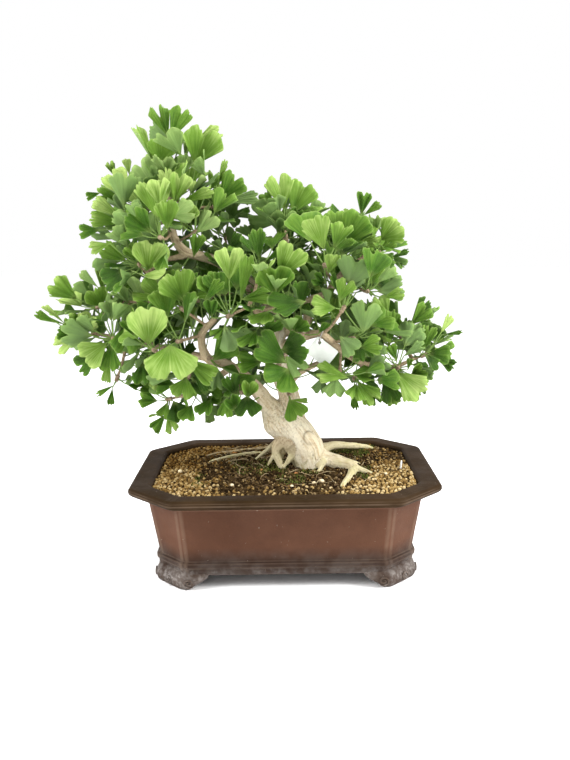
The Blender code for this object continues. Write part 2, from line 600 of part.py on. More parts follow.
def nearest_on_limbs(target, shoots):
    """Where a twig to a shoot leaves the limbs: the nearest place whose way there is clear."""
    spots = []
    for name in LIMBS:
        if name in ROOTS:
            continue
        points, radii = limb_path(name)
        for k in range(len(points) - 1):
            for part in (0.0, 0.5, 1.0):
                spot = points[k].lerp(points[k + 1], part)
                radius = radii[k] + (radii[k + 1] - radii[k]) * part
                spots.append(((spot - target).length - radius, spot))
    spots.sort(key=lambda item: item[0])
    for _, spot in spots[:TWIG_CHOICES]:
        clear = True
        for other in shoots:
            if (other - target).length < 1.0:
                continue
            along = max(0.0, min(1.0, (other - spot).dot(target - spot) / (target - spot).length_squared))
            if (spot.lerp(target, along) - other).length < TWIG_CLEARANCE:
                clear = False
        if clear:
            return spot
    return spots[0][1]


def shoot_frames():
    """Each spray's shoot: its middle, the way it points and where its twig leaves the limbs."""
    middles = {name: sighted(*spray[0]) for name, spray in SPRAYS.items()}
    frames = {}
    for name, middle in middles.items():
        root = nearest_on_limbs(middle, middles.values())
        length = (middle - root).length
        sag = TWIG_SAG * length if length > STRAIGHT_TWIG + SHOOT_BACK + GAP else 0.0
        bend = root.lerp(middle, TWIG_BEND) + Vector((0, 0, -sag))
        frames[name] = (middle, (middle - bend).normalized(), root, bend)
    return frames


def make_wood(collection, cutters, frames):
    """Trunk, roots and limbs with a twig to every shoot, all one solid."""
    wood = make_limbs("wood", list(LIMBS), collection, cutters)
    twigs = new_collection("twigs")
    for name, (middle, axis, root, bend) in frames.items():
        end = middle - axis * (SHOOT_BACK + GAP)
        path = (root, bend, end) if (end - root).length > STRAIGHT_TWIG else (root, end)
        radii = (TWIG_ROOT_RADIUS, TWIG_RADIUS, TWIG_RADIUS)[-len(path):]
        tube("twig_" + name, path, radii, 0, twigs)
    boolean(wood, "UNION", collection=twigs)
    bpy.data.collections.remove(twigs)
    wood.data.materials.clear()
    wood.data.materials.append(material("bark", "wood"))
    return wood


class Leaf:
    """A fan blade on its stalk: where it stands, how it is turned and how it is curled."""

    def __init__(self, base, tip, spread, curl, turn, start, chance, face=None):
        self.steps = FRONT_STEPS if face is None else FILL_STEPS
        self.base = base
        self.start = start
        self.out = (tip - base).normalized()
        self.reach = (tip - base).length
        face = (EYE - base).normalized() if face is None else face
        side = face.cross(self.out).normalized()
        up = self.out.cross(side)
        turned = math.radians(turn)
        self.side = side * math.cos(turned) + up * math.sin(turned)
        self.up = self.out.cross(self.side)
        self.spread = math.radians(spread)
        self.curl = max(curl, self.spread / 2.6)
        self.notch = chance.uniform(0.08, 0.34) if spread > 20 else 0.04
        self.wave = chance.uniform(0.5, 2.4) if spread > 20 else 0.4
        self.ripples = chance.uniform(5.0, 8.0)
        self.phase = chance.uniform(0.0, 6.28)

    def surface(self, t, s):
        """A point of the blade's middle surface: t across it from -1 to 1, s from stalk to margin."""
        shape = 1 - self.notch * math.exp(-((t / NOTCH_WIDTH) ** 2)) - SIDE_DROOP * t ** 4
        r = s * self.reach * (shape + RIPPLE * math.sin(9 * t + self.phase))
        k = self.curl
        c = math.sqrt(max(0.0, 1 - k * k))
        phi = t * self.spread / k
        x = r * (c * c + k * k * math.cos(phi))
        y = r * k * math.sin(phi)
        z = r * k * c * (1 - math.cos(phi)) + s * self.wave * math.sin(self.ripples * t + self.phase)
        return self.base + self.out * x + self.side * y + self.up * z

    def margin(self, t, thick):
        """The two skins' points on the margin at t."""
        middle = self.surface(t, 1.0)
        across = self.surface(t + 0.03, 1.0) - self.surface(t - 0.03, 1.0)
        along = middle - self.base
        normal = along.cross(across).normalized() * (thick / 2)
        return middle + normal, middle - normal

    def solid(self, thick=BLADE_THICK, grown=1.0, bends=1, from_shoot=0.0):
        """Points and faces of the closed blade and stalk."""
        sag = Vector((0, 0, -STALK_SAG * (self.base - self.start).length))
        path = []
        for k in range(bends + 1):
            part = from_shoot + (1 - from_shoot) * k / bends
            path.append(self.start.lerp(self.base, part) + sag * (4 * part * (1 - part)))
        way = (self.base - self.start).normalized()
        up = (self.up - way * self.up.dot(way)).normalized()
        side = up.cross(way)
        width = STALK_RADIUS * (TEST_STALK if thick > BLADE_THICK else 1.0)
        points = []
        for spot in path[:-1]:
            points += [spot + up * width, spot - up * width * 0.5 - side * width,
                       spot - up * width * 0.5 + side * width]
        points += [self.base + self.up * width, self.base - self.up * width * 0.5 - self.side * width,
                   self.base - self.up * width * 0.5 + self.side * width]
        faces = [(0, 2, 1)]
        for k in range(bends):
            for i in range(3):
                j = (i + 1) % 3
                a, b = 3 * k + i, 3 * k + j
                faces += [(a, b, b + 3), (a, b + 3, a + 3)]
        top = 3 * bends
        left, right, first = top + 1, top + 2, top + 3
        last = len(self.steps) - 1
        for t in self.steps:
            upper, lower = self.margin(t, thick)
            points += [self.base + (upper - self.base) * grown, self.base + (lower - self.base) * grown]
        upper = [first + 2 * i for i in range(last + 1)]
        lower = [first + 2 * i + 1 for i in range(last + 1)]
        for i in range(last):
            faces.append((top, upper[i], upper[i + 1]))
            faces.append((left if i < last / 2 else right, lower[i + 1], lower[i]))
            faces += [(upper[i], lower[i], lower[i + 1]), (upper[i], lower[i + 1], upper[i + 1])]
        faces.append((left, right, lower[(last + 1) // 2]))
        faces += [(top, left, lower[0]), (top, lower[0], upper[0])]
        faces += [(top, upper[-1], lower[-1]), (top, lower[-1], right)]
        return points, faces

    def tree(self, **how):
        points, faces = self.solid(**how)
        return BVHTree.FromPolygons(points, faces)


class Canopy:
    """The leaves placed so far, and what they must stay clear of."""

    def __init__(self, obstacles):
        self.obstacles = obstacles
        self.leaves = []

    def fits(self, leaf, spray):
        centre = leaf.base.lerp(leaf.surface(0, 1.0), 0.4)
        reach = leaf.reach + (leaf.base - leaf.start).length
        whole = leaf.tree(thick=TEST_THICK, grown=TEST_GROWTH, from_shoot=0.0)
        outer = leaf.tree(thick=TEST_THICK, grown=TEST_GROWTH, from_shoot=0.35)
        for solid, owner in self.obstacles:
            if owner == spray:
                continue
            if whole.overlap(solid):
                return False
        for other, other_spray, other_whole, other_outer, other_centre, other_reach in self.leaves:
            if (centre - other_centre).length > reach + other_reach:
                continue
            if other_spray == spray:
                if outer.overlap(other_outer):
                    return False
            elif whole.overlap(other_whole):
                return False
        return True

    def add(self, leaf, spray):
        centre = leaf.base.lerp(leaf.surface(0, 1.0), 0.4)
        reach = leaf.reach + (leaf.base - leaf.start).length
        whole = leaf.tree()
        outer = leaf.tree(from_shoot=0.3)
        self.leaves.append((leaf, spray, whole, outer, centre, reach))


def front_leaf(entry, shift, start, depth, chance):
    """A listed leaf, as far behind its spray's own depth as shift says."""
    base_x, base_z, tip_x, tip_z, spread, curl, turn, lean = entry
    base = sighted(base_x, base_z, depth + shift - SET_FORWARD)
    tip = sighted(tip_x, tip_z, depth + shift - SET_FORWARD + lean)
    return Leaf(base, tip, spread, curl, turn, start, chance)


def inside_pads(point):
    """Whether a place lies in one of the foliage pads."""
    for x, z, y, half_x, half_z, half_y in PADS:
        middle = sighted(x, z, y)
        off = Vector(point) - middle
        if (off.x / half_x) ** 2 + (off.y / half_y) ** 2 + (off.z / half_z) ** 2 < 1:
            return True
    return False


def hides_view(leaf):
    """Whether a filling leaf would hide what stays in view from the front."""
    for t in (-1.0, 0.0, 1.0):
        for s in (0.1, 0.6, 1.0):
            spot = leaf.surface(t, s)
            x, z = shows_at(spot)
            for left, low, right, high in CLEAR_VIEWS:
                if left < x < right and low < z < high and spot.y < VIEW_DEPTH:
                    return True
    return False


def stalk_start(middle, axis, towards, chance):
    """Where a stalk leaves its shoot: on the side that it grows to, sunk well in."""
    way = towards - middle
    sideways = way - axis * way.dot(axis)
    inset = sideways.normalized() * STALK_INSET if sideways.length > 1.0 else Vector((0, 0, 0))
    return middle + axis * chance.uniform(-1.2, 1.8) + inset


def filling_leaf(middle, axis, chance):
    """A leaf drawn at random round a shoot, facing up and away from the tree's middle."""
    away = (middle - CROWN_MIDDLE).normalized()
    wild = Vector((chance.gauss(0, 1), chance.gauss(0, 1), chance.gauss(0, 1))).normalized()
    way = (away * FILL_AWAY + axis * FILL_ALONG + Vector((0, 0, FILL_RISE)) + wild * FILL_WILD).normalized()
    start = stalk_start(middle, axis, middle + way * 10.0, chance)
    base = start + way * chance.uniform(*FILL_STALK)
    nod = Vector((chance.gauss(0, FILL_NOD), chance.gauss(0, FILL_NOD), chance.gauss(-0.15, 0.3)))
    out = (way + nod).normalized()
    tip = base + out * chance.uniform(*FILL_REACH)
    face = (away * 0.7 + Vector((0, 0, 0.75)) + wild * 0.3).normalized()
    if abs(face.dot(out)) > 0.93:
        face = (face + Vector((0.3, 0.5, 0.4))).normalized()
    turn = chance.gauss(0, FILL_TURN)
    return Leaf(base, tip, chance.uniform(*FILL_SPREAD), chance.uniform(0.5, 0.92), turn, start, chance, face)


def grow_canopy(frames, obstacles):
    """Places every leaf: first those that face the front, then the filling ones."""
    canopy = Canopy(obstacles)
    chance = random.Random(SEED)
    missed = []
    for name, (place, extra, entries) in SPRAYS.items():
        middle, axis, _, _ = frames[name]
        for number, entry in enumerate(entries):
            placed = False
            base = sighted(entry[0], entry[1], place[2])
            start = stalk_start(middle, axis, base, chance)
            draw = chance.random()
            for shift in SHIFTS:
                leaf = front_leaf(entry, shift, start, place[2], random.Random(draw))
                if canopy.fits(leaf, name):
                    canopy.add(leaf, name)
                    placed = True
                    break
            if not placed:
                missed.append(f"{name}_{number}")
    faced = len(canopy.leaves)
    for name, (place, extra, entries) in SPRAYS.items():
        middle, axis, _, _ = frames[name]
        wanted = extra
        for _ in range(FILL_TRIES * extra):
            if not wanted:
                break
            leaf = filling_leaf(middle, axis, chance)
            if not inside_pads(leaf.surface(0, 1.0)) or not inside_pads(leaf.surface(0, 0.5)):
                continue
            if hides_view(leaf) or not canopy.fits(leaf, name):
                continue
            canopy.add(leaf, name)
            wanted -= 1
    print(f"{faced} leaves face the front, {len(canopy.leaves) - faced} fill in; left out: {missed}")
    return canopy


def make_shoot(name, frame, collection):
    """The short woody shoot that a spray's stalks stand on."""
    middle, axis, _, _ = frame
    bm = bmesh.new()
    bmesh.ops.create_cone(
        bm, cap_ends=True, segments=6, radius1=SHOOT_RADIUS * MM, radius2=SHOOT_RADIUS * 0.8 * MM,
        depth=(SHOOT_BACK + SHOOT_FRONT) * MM)
    turn = axis.to_track_quat("Z", "Y").to_matrix().to_4x4()
    bmesh.ops.transform(bm, matrix=turn, verts=bm.verts)
    place = middle + axis * (SHOOT_FRONT - SHOOT_BACK) / 2
    bmesh.ops.translate(bm, vec=place * MM, verts=bm.verts)
    mesh = bpy.data.meshes.new(name)
    bm.to_mesh(mesh)
    bm.free()
    obj = bpy.data.objects.new(name, mesh)
    collection.objects.link(obj)
    return obj


def bvh_of(obj):
    """A search tree of an object's faces, in millimetres."""
    points = [vert.co / MM for vert in obj.data.vertices]
    faces = [tuple(face.vertices) for face in obj.data.polygons]
    return BVHTree.FromPolygons(points, faces)


def make_sprays(collection, frames, obstacles):
    """Every spray: its shoot joined with the stalks and blades of its leaves."""
    shoots = {name: make_shoot("spray_" + name, frames[name], collection) for name in SPRAYS}
    obstacles = obstacles + [(bvh_of(shoot), name) for name, shoot in shoots.items()]
    canopy = grow_canopy(frames, obstacles)
    leaves = new_collection("leaves")
    for name, shoot in shoots.items():
        own = [placed[0] for placed in canopy.leaves if placed[1] == name]
        for number, leaf in enumerate(own):
            points, faces = leaf.solid()
            mesh_object(f"{name}_leaf_{number}", points, faces, leaves)
        boolean(shoot, "UNION", collection=leaves, solver="MANIFOLD")
        shoot.data.materials.clear()
        shoot.data.materials.append(material("leaf", name))
    bpy.data.collections.remove(leaves)


def make_tag(collection):
    """A blank card with a punched hole, and the wire ring that holds it on a limb."""
    points, _ = limb_path(TAG_LIMB)
    middle = points[TAG_PLACE]
    along = (points[TAG_PLACE + 1] - points[TAG_PLACE - 1]).normalized()
    down = Vector((0, -RING_FORWARD, -1))
    down = (down - along * down.dot(along)).normalized()
    across = along.cross(down)
    spots = []
    for k in range(RING_STEPS):
        turn = 2 * math.pi * k / RING_STEPS
        outward = down * math.cos(turn) + across * math.sin(turn)
        for side, out in ((0, 1), (1, 0), (0, -1), (-1, 0)):
            wall = (outward * out + along * side) * RING_WIRE
            spots.append(middle + outward * RING_RADIUS + wall)
    faces = []
    for k in range(RING_STEPS):
        after = (k + 1) % RING_STEPS
        for i in range(4):
            j = (i + 1) % 4
            faces.append((4 * k + i, 4 * k + j, 4 * after + j, 4 * after + i))
    ring = mesh_object("tag_ring", spots, faces, collection)
    ring.data.materials.append(material("wire", "tag_ring"))
    hole = middle + down * RING_RADIUS
    turned = Matrix.Rotation(math.radians(TAG_TURN), 4, "Y")
    length, thick, height = TAG_SIZE
    inside = Vector((length / 2 - TAG_MARGIN, 0, TAG_MARGIN - height / 2))
    tag = box("tag_card", TAG_SIZE, (0, 0, 0), collection)
    tag.data.transform(Matrix.Translation((hole + turned @ inside) * MM) @ turned)
    bpy.ops.mesh.primitive_cylinder_add(
        vertices=16, radius=TAG_HOLE * MM, depth=10 * thick * MM, location=hole * MM,
        rotation=(math.pi / 2, 0, 0))
    boolean(tag, "DIFFERENCE", bpy.context.object)
    tag.data.materials.clear()
    tag.data.materials.append(material("tag", "tag_card"))
    return ring, tag


def place_together(collection):
    """Carries every piece over to its place about the origin, under one empty."""
    carrier = bpy.data.objects.new("bonsai_place", None)
    carrier.location = (POT_PLACE * MM, 0.0, 0.0)
    for piece in list(collection.objects):
        piece.parent = carrier
    collection.objects.link(carrier)


def main():
    clear_scene()
    bonsai = new_collection("ginkgo_bonsai")
    cutters = new_collection("cutters")
    frames = shoot_frames()
    pot = make_pot(bonsai, cutters)
    wood = make_wood(bonsai, cutters, frames)
    soil = make_soil(bonsai, cutters)
    make_screens(bonsai)
    ring, tag = make_tag(bonsai)
    obstacles = [(bvh_of(obj), None) for obj in (pot, wood, soil, ring, tag)]
    make_sprays(bonsai, frames, obstacles)
    bpy.data.collections.remove(cutters)
    place_together(bonsai)


main()
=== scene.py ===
# %% [markdown]
# A ginkgo bonsai in its clay pot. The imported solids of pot, soil, wood and leaf sprays are loaded as a
# fixed frame, and this lesson dresses them one after another: camera and light first, then the pot, the
# soil, the wood, the leaves and the small card. Lengths are in millimetres and become metres when a
# mesh is made. Places are given from the middle of the pot's footprint, as in the solids' own drawing.

# %% Load the frame
import math
import random

import bmesh
import bpy
import numpy as np
from mathutils import Matrix, Vector, noise
from mathutils.bvhtree import BVHTree
from mathutils.kdtree import KDTree


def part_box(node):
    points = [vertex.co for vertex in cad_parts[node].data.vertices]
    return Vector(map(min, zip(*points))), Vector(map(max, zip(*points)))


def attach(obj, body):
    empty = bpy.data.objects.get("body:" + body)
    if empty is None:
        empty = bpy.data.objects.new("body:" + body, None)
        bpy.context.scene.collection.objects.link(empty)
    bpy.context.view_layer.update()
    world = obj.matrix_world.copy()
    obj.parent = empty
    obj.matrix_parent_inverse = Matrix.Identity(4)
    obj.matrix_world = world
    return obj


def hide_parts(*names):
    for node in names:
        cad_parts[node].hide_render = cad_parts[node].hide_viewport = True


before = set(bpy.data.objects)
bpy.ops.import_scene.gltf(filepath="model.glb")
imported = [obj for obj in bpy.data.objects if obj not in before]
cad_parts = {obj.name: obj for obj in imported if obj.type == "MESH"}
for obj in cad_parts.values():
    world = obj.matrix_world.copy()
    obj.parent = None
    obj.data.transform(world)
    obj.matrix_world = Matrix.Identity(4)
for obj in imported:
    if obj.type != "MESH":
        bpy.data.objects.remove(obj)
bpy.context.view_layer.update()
MM = 0.001
pot_low, pot_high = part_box("pot")
POT_PLACE = Vector(((pot_low.x + pot_high.x) / 2, 0.0, 0.0))
print("solids:", len(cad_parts), "- the pot stands at x =", round(POT_PLACE.x / MM, 2), "mm")

# %% [markdown]
# The camera comes first, because everything is seen through it. A photo's perspective gives its
# place and its lens: both were fitted to how the pot's rim and feet show.

# %% Camera
EYE = Vector((0.0, -938.0, 386.0))
CAMERA_PLACE = Vector((-0.460, -938.445, 386.433))
CAMERA_AIM = Vector((1.702, 0.0, 209.398))
CAMERA_ROLL = math.radians(-0.781)
LENS = 39.57


def in_metres(point):
    """A place given in millimetres from the pot's middle, as a place in the scene."""
    return Vector(point) * MM + POT_PLACE


def make_camera():
    back = (CAMERA_PLACE - CAMERA_AIM).normalized()
    right = Vector((0, 0, 1)).cross(back).normalized()
    up = back.cross(right)
    level = math.cos(CAMERA_ROLL)
    tilt = math.sin(CAMERA_ROLL)
    columns = (right * level + up * tilt, up * level - right * tilt, back)
    camera = bpy.data.objects.new("camera", bpy.data.cameras.new("camera"))
    bpy.context.scene.collection.objects.link(camera)
    camera.matrix_world = Matrix.Translation(in_metres(CAMERA_PLACE)) @ Matrix(columns).transposed().to_4x4()
    camera.data.lens = LENS
    camera.data.sensor_width = 36.0
    camera.data.clip_start = 0.01
    bpy.context.scene.camera = camera
    return camera


camera = make_camera()
print("camera at", [round(value, 3) for value in camera.location])

# %% [markdown]
# A product photo on white has light from everywhere and one soft key, so that leaves keep their shape.
# A white world does the filling, large area lights the modelling, and the Standard view keeps colours
# as they are set, so that a finish can be compared with a photo directly.

# %% Light and floor
WORLD_STRENGTH = 1.0
AREA_LIGHTS = (
    ("key", (1150, -420, 900), 800, 34.0), ("fill", (-1150, -420, 800), 800, 24.0),
    ("top", (0, 150, 1500), 900, 16.0),
)
FLOOR_SIDE = 12.0


def make_light(name, place, side, power):
    data = bpy.data.lights.new(name, "AREA")
    data.shape = "SQUARE"
    data.size = side * MM
    data.energy = power
    light = bpy.data.objects.new(name, data)
    bpy.context.scene.collection.objects.link(light)
    light.location = in_metres(place)
    light.rotation_euler = (in_metres((0, 0, 200)) - light.location).to_track_quat("-Z", "Y").to_euler()
    return light


def make_floor():
    bpy.ops.mesh.primitive_plane_add(size=FLOOR_SIDE)
    floor = bpy.context.object
    floor.name = "floor"
    white = bpy.data.materials.new("floor_white")
    white.use_nodes = True
    shader = white.node_tree.nodes["Principled BSDF"]
    shader.inputs["Base Color"].default_value = (1.0, 1.0, 1.0, 1)
    shader.inputs["Roughness"].default_value = 0.9
    shader.inputs["Specular IOR Level"].default_value = 0.1
    floor.data.materials.append(white)


world = bpy.data.worlds.new("studio")
world.use_nodes = True
world.node_tree.nodes["Background"].inputs["Color"].default_value = (1, 1, 1, 1)
world.node_tree.nodes["Background"].inputs["Strength"].default_value = WORLD_STRENGTH
bpy.context.scene.world = world
bpy.context.scene.view_settings.view_transform = "Standard"
for light_name, light_place, light_side, light_power in AREA_LIGHTS:
    make_light(light_name, light_place, light_side, light_power)
make_floor()
print("lights:", [light[0] for light in AREA_LIGHTS])

# %% [markdown]
# Every piece ends the same way: a mesh whose place is in its points, on an object that stays at the
# origin. Its finish reads named attributes of the points, such as the pot's mark of wear and painted
# highlight, so that patterns follow the shape. These short helpers keep the later cells about the plant
# itself.

# %% Helpers for meshes
def mesh_piece(name, points, faces, finishes, marks=None, smooth=True, slots=None):
    """An object from points in millimetres; marks are named values, one for each point."""
    mesh = bpy.data.meshes.new(name)
    places = np.asarray(points, np.float64) * MM + np.array(POT_PLACE)
    mesh.from_pydata(places.tolist(), [], [list(map(int, face)) for face in faces])
    for mark, values in (marks or {}).items():
        attribute = mesh.attributes.new(mark, "FLOAT", "POINT")
        attribute.data.foreach_set("value", np.asarray(values, np.float32))
    piece = bpy.data.objects.new(name, mesh)
    bpy.context.scene.collection.objects.link(piece)
    for finish in finishes:
        mesh.materials.append(finish)
    if slots is not None:
        mesh.polygons.foreach_set("material_index", np.asarray(slots, np.int32))
    mesh.polygons.foreach_set("use_smooth", np.full(len(mesh.polygons), smooth))
    mesh.update()
    return piece


def finished_mesh(piece):
    """Puts the evaluated mesh in place of a piece's mesh and modifiers."""
    graph = bpy.context.evaluated_depsgraph_get()
    mesh = bpy.data.meshes.new_from_object(piece.evaluated_get(graph))
    piece.modifiers.clear()
    piece.data = mesh
    return piece


def hand_over(piece, slot, *nodes):
    """Hangs a piece on the root body and hides the solids it stands for; slot is not used."""
    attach(piece, "root")
    if nodes:
        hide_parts(*nodes)
    print(f"{piece.name}: {len(piece.data.vertices)} points, {len(piece.data.polygons)} faces")


def loft_faces(rings, count, closed_ends=True):
    """Faces between rings of equally many points, with both ends capped."""
    faces = []
    for k in range(rings - 1):
        for i in range(count):
            j = (i + 1) % count
            faces.append((k * count + i, k * count + j, (k + 1) * count + j, (k + 1) * count + i))
    if closed_ends:
        faces.append(tuple(range(count))[::-1])
        faces.append(tuple(range((rings - 1) * count, rings * count)))
    return faces


def turned_outwards(piece):
    """Turns every face of a piece outwards."""
    bm = bmesh.new()
    bm.from_mesh(piece.data)
    bmesh.ops.recalc_face_normals(bm, faces=bm.faces)
    bm.to_mesh(piece.data)
    bm.free()
    return piece


def drilled(piece, radius, depth, sides, place, turn=(0, 0, 0)):
    """Cuts a round hole; sizes in millimetres."""
    bpy.ops.mesh.primitive_cylinder_add(
        vertices=sides, radius=radius * MM, depth=depth * MM, location=in_metres(place), rotation=turn)
    drill = bpy.context.object
    cut = piece.modifiers.new("drill", "BOOLEAN")
    cut.operation = "DIFFERENCE"
    cut.solver = "EXACT"
    cut.object = drill
    finished_mesh(piece)
    bpy.data.objects.remove(drill, do_unlink=True)


class Body:
    """Points, faces and slots of one piece, joined from closed lofts."""

    def __init__(self):
        self.points = []
        self.faces = []
        self.slots = []

    def add(self, points, faces, slot=0):
        start = len(self.points)
        self.points += [tuple(point) for point in points]
        self.faces += [tuple(start + i for i in face) for face in faces]
        self.slots += [slot] * len(faces)
        return len(points)

    def loft(self, rings, slot=0):
        """Adds a capped loft and says how many points it has."""
        points = [point for ring in rings for point in ring]
        return self.add(points, loft_faces(len(rings), len(rings[0])), slot)

    def piece(self, name, finishes, marks=None):
        return turned_outwards(mesh_piece(name, self.points, self.faces, finishes, marks, slots=self.slots))


print("mesh helpers ready")

# %% [markdown]
# Finishes are node trees. A coat is such a tree while it is put together: each of its methods adds one
# node and gives back what that node makes. Two node groups hold effects that several coats share: soft
# patches, for stains and colour drift, and grit, the fine height that takes the plastic look off clay,
# bark and soil.

# %% Helpers for finishes
def add_node(tree, kind, inputs=None, **settings):
    """A shader node whose inputs, by name or number, are values or the sockets that feed them."""
    made = tree.nodes.new("ShaderNode" + kind)
    for key, value in settings.items():
        setattr(made, key, value)
    for key, value in (inputs or {}).items():
        if isinstance(value, bpy.types.NodeSocket):
            tree.links.new(value, made.inputs[key])
        else:
            made.inputs[key].default_value = value
    return made


def math_node(tree, operation, first, second=0.0):
    return add_node(tree, "Math", {0: first, 1: second}, operation=operation).outputs[0]


def new_effect(name, output, **numbers):
    """An empty node group from a place and some numbers to one value, with its two ends."""
    group = bpy.data.node_groups.new(name, "ShaderNodeTree")
    group.interface.new_socket(name="Place", in_out="INPUT", socket_type="NodeSocketVector")
    for label, value in numbers.items():
        socket = group.interface.new_socket(name=label, in_out="INPUT", socket_type="NodeSocketFloat")
        socket.default_value = value
    group.interface.new_socket(name=output, in_out="OUTPUT", socket_type="NodeSocketFloat")
    return group, group.nodes.new("NodeGroupInput").outputs, group.nodes.new("NodeGroupOutput").inputs[0]


def patches_effect():
    """Soft patches: 1 where the noise is over Level, 0 under it, with a border of Softness."""
    group, given, result = new_effect("soft_patches", "Mask", Scale=30.0, Level=0.5, Softness=0.1)
    cloud = add_node(group, "TexNoise", {"Vector": given["Place"], "Scale": given["Scale"], "Detail": 3.0,
                                         "Roughness": 0.6})
    low = math_node(group, "SUBTRACT", given["Level"], given["Softness"])
    high = math_node(group, "ADD", given["Level"], given["Softness"])
    border = add_node(group, "MapRange", {0: cloud.outputs["Fac"], 1: low, 2: high},
                      interpolation_type="SMOOTHSTEP")
    group.links.new(border.outputs[0], result)
    return group


def grit_effect():
    """Fine height from two sizes of noise."""
    group, given, result = new_effect("grit", "Height", Scale=400.0)
    coarse = add_node(group, "TexNoise", {"Vector": given["Place"], "Scale": given["Scale"], "Detail": 4.0,
                                          "Roughness": 0.65})
    pits = add_node(group, "TexVoronoi", {"Vector": given["Place"], "Scale": given["Scale"]})
    pitted = math_node(group, "MULTIPLY", pits.outputs["Distance"], 0.25)
    group.links.new(math_node(group, "ADD", coarse.outputs["Fac"], pitted), result)
    return group


PATCHES = patches_effect()
GRIT = grit_effect()


class Coat:
    """A Principled finish in the making: its material, tree, shader and the piece's own coordinates."""

    def __init__(self, name, roughness, specular=0.5, metallic=0.0):
        self.material = bpy.data.materials.new(name)
        self.material.use_nodes = True
        self.tree = self.material.node_tree
        self.shader = self.tree.nodes["Principled BSDF"]
        self.shader.inputs["Roughness"].default_value = roughness
        self.shader.inputs["Specular IOR Level"].default_value = specular
        self.shader.inputs["Metallic"].default_value = metallic
        self.place = self.node("TexCoord").outputs["Object"]

    def node(self, kind, inputs=None, **settings):
        return add_node(self.tree, kind, inputs, **settings)

    def times(self, first, second):
        return math_node(self.tree, "MULTIPLY", first, second)

    def plus(self, first, second):
        return math_node(self.tree, "ADD", first, second)

    def minus(self, first, second):
        return math_node(self.tree, "SUBTRACT", first, second)

    def rise(self, value, low, high, start=0.0, end=1.0):
        """A straight rise from start to end while the value goes from low to high."""
        return self.node("MapRange", {0: value, 1: low, 2: high, 3: start, 4: end}).outputs[0]

    def noise(self, place, scale, detail):
        return self.node("TexNoise", {"Vector": place, "Scale": scale, "Detail": detail}).outputs["Fac"]

    def drift(self, value, place, scale, detail, much):
        """A value that wanders up and down with a noise."""
        return self.plus(value, self.times(self.minus(self.noise(place, scale, detail), 0.5), much))

    def stretched(self, vector, factors):
        return self.node("VectorMath", {0: vector, 1: factors}, operation="MULTIPLY").outputs[0]

    def axes(self, vector):
        return self.node("SeparateXYZ", {0: vector}).outputs

    def mark(self, name, output="Fac"):
        """A named value of the points."""
        return self.node("Attribute", attribute_name=name).outputs[output]

    def patches(self, scale, level, softness):
        inputs = {"Place": self.place, "Scale": scale, "Level": level, "Softness": softness}
        return self.node("Group", inputs, node_tree=PATCHES).outputs[0]

    def grit(self, scale):
        return self.node("Group", {"Place": self.place, "Scale": scale}, node_tree=GRIT).outputs[0]

    def mixed(self, share, first, second, how="MIX"):
        """Two colours mixed by a share."""
        first = (*first, 1) if isinstance(first, tuple) else first
        second = (*second, 1) if isinstance(second, tuple) else second
        made = self.node("Mix", {0: share, 6: first, 7: second}, data_type="RGBA", blend_type=how)
        return made.outputs[2]

    def stained(self, colour, share, much, stain):
        """A colour with a stain laid over it, by much of a share."""
        return self.mixed(self.times(share, much), colour, stain)

    def ramp(self, value, stops):
        """A colour that changes with a value, from stops of (place, colour)."""
        made = self.node("ValToRGB", {0: value})
        elements = made.color_ramp.elements
        for element, (place, colour) in ((elements[0], stops[0]), (elements[1], stops[-1])):
            element.position = place
            element.color = (*colour, 1)
        for place, colour in stops[1:-1]:
            elements.new(place).color = (*colour, 1)
        return made.outputs[0]

    def paint(self, colour):
        self.tree.links.new(colour, self.shader.inputs["Base Color"])

    def dull(self, roughness):
        self.tree.links.new(roughness, self.shader.inputs["Roughness"])

    def emboss(self, height, depth):
        """Turns a height into a relief; depth is its size in metres."""
        bump = self.node("Bump", {"Height": height, "Distance": depth, "Strength": 1.0})
        self.tree.links.new(bump.outputs[0], self.shader.inputs["Normal"])


def plain_coat(name, first, second, roughness, scale, specular=0.05, metallic=0.0, grain=600.0, depth=0.0004,
               border=0.15):
    """A finish of two colours in patches, with grit."""
    coat = Coat(name, roughness, specular, metallic)
    coat.paint(coat.mixed(coat.patches(scale, 0.5, border), first, second))
    coat.emboss(coat.grit(grain), depth)
    return coat.material


print("shared effects:", PATCHES.name, "and", GRIT.name)


# %% [markdown]
# The pot is fired clay: an oblong box with cut, stepped corners, a belt and an apron at its foot, and a
# broad rim. Its solid is a coarse loft. Here the same plan and profile are lofted again with every
# corner rounded, because fired clay has no sharp edge, and rounded ridges carry pale lines of wear and
# of painted highlight.

# %% Pot plan and profile
POT_LENGTH = 340.0
POT_WIDTH = 256.0
POT_HEIGHT = 108.0
CORNER_CUT = 46.0
CORNER_STEP = 5.0
CORNER_SHRINK = 0.586
FOOT_HEIGHT = 16.0
FLOOR_TOP = 27.0
DRAIN_RADIUS = 12.0
DRAIN_X = 62.0
POT_PROFILE = (
    (FOOT_HEIGHT, 38.0), (FOOT_HEIGHT, 30.0), (24.0, 29.0), (24.8, 27.4), (30.0, 27.0), (31.0, 30.6),
    (92.0, 20.5), (95.5, 17.0), (97.5, 6.0), (100.0, 1.4), (103.0, 0.0), (106.4, 0.8),
    (POT_HEIGHT, 3.2), (POT_HEIGHT, 21.5), (106.0, 24.5), (96.0, 26.0), (FLOOR_TOP, 38.0),
)
PLAN_ROUND = 3.6
PROFILE_ROUND = 1.5
ROUND_STEPS = 4
CORNER_SIGNS = ((1, 1), (1, -1), (-1, -1), (-1, 1))


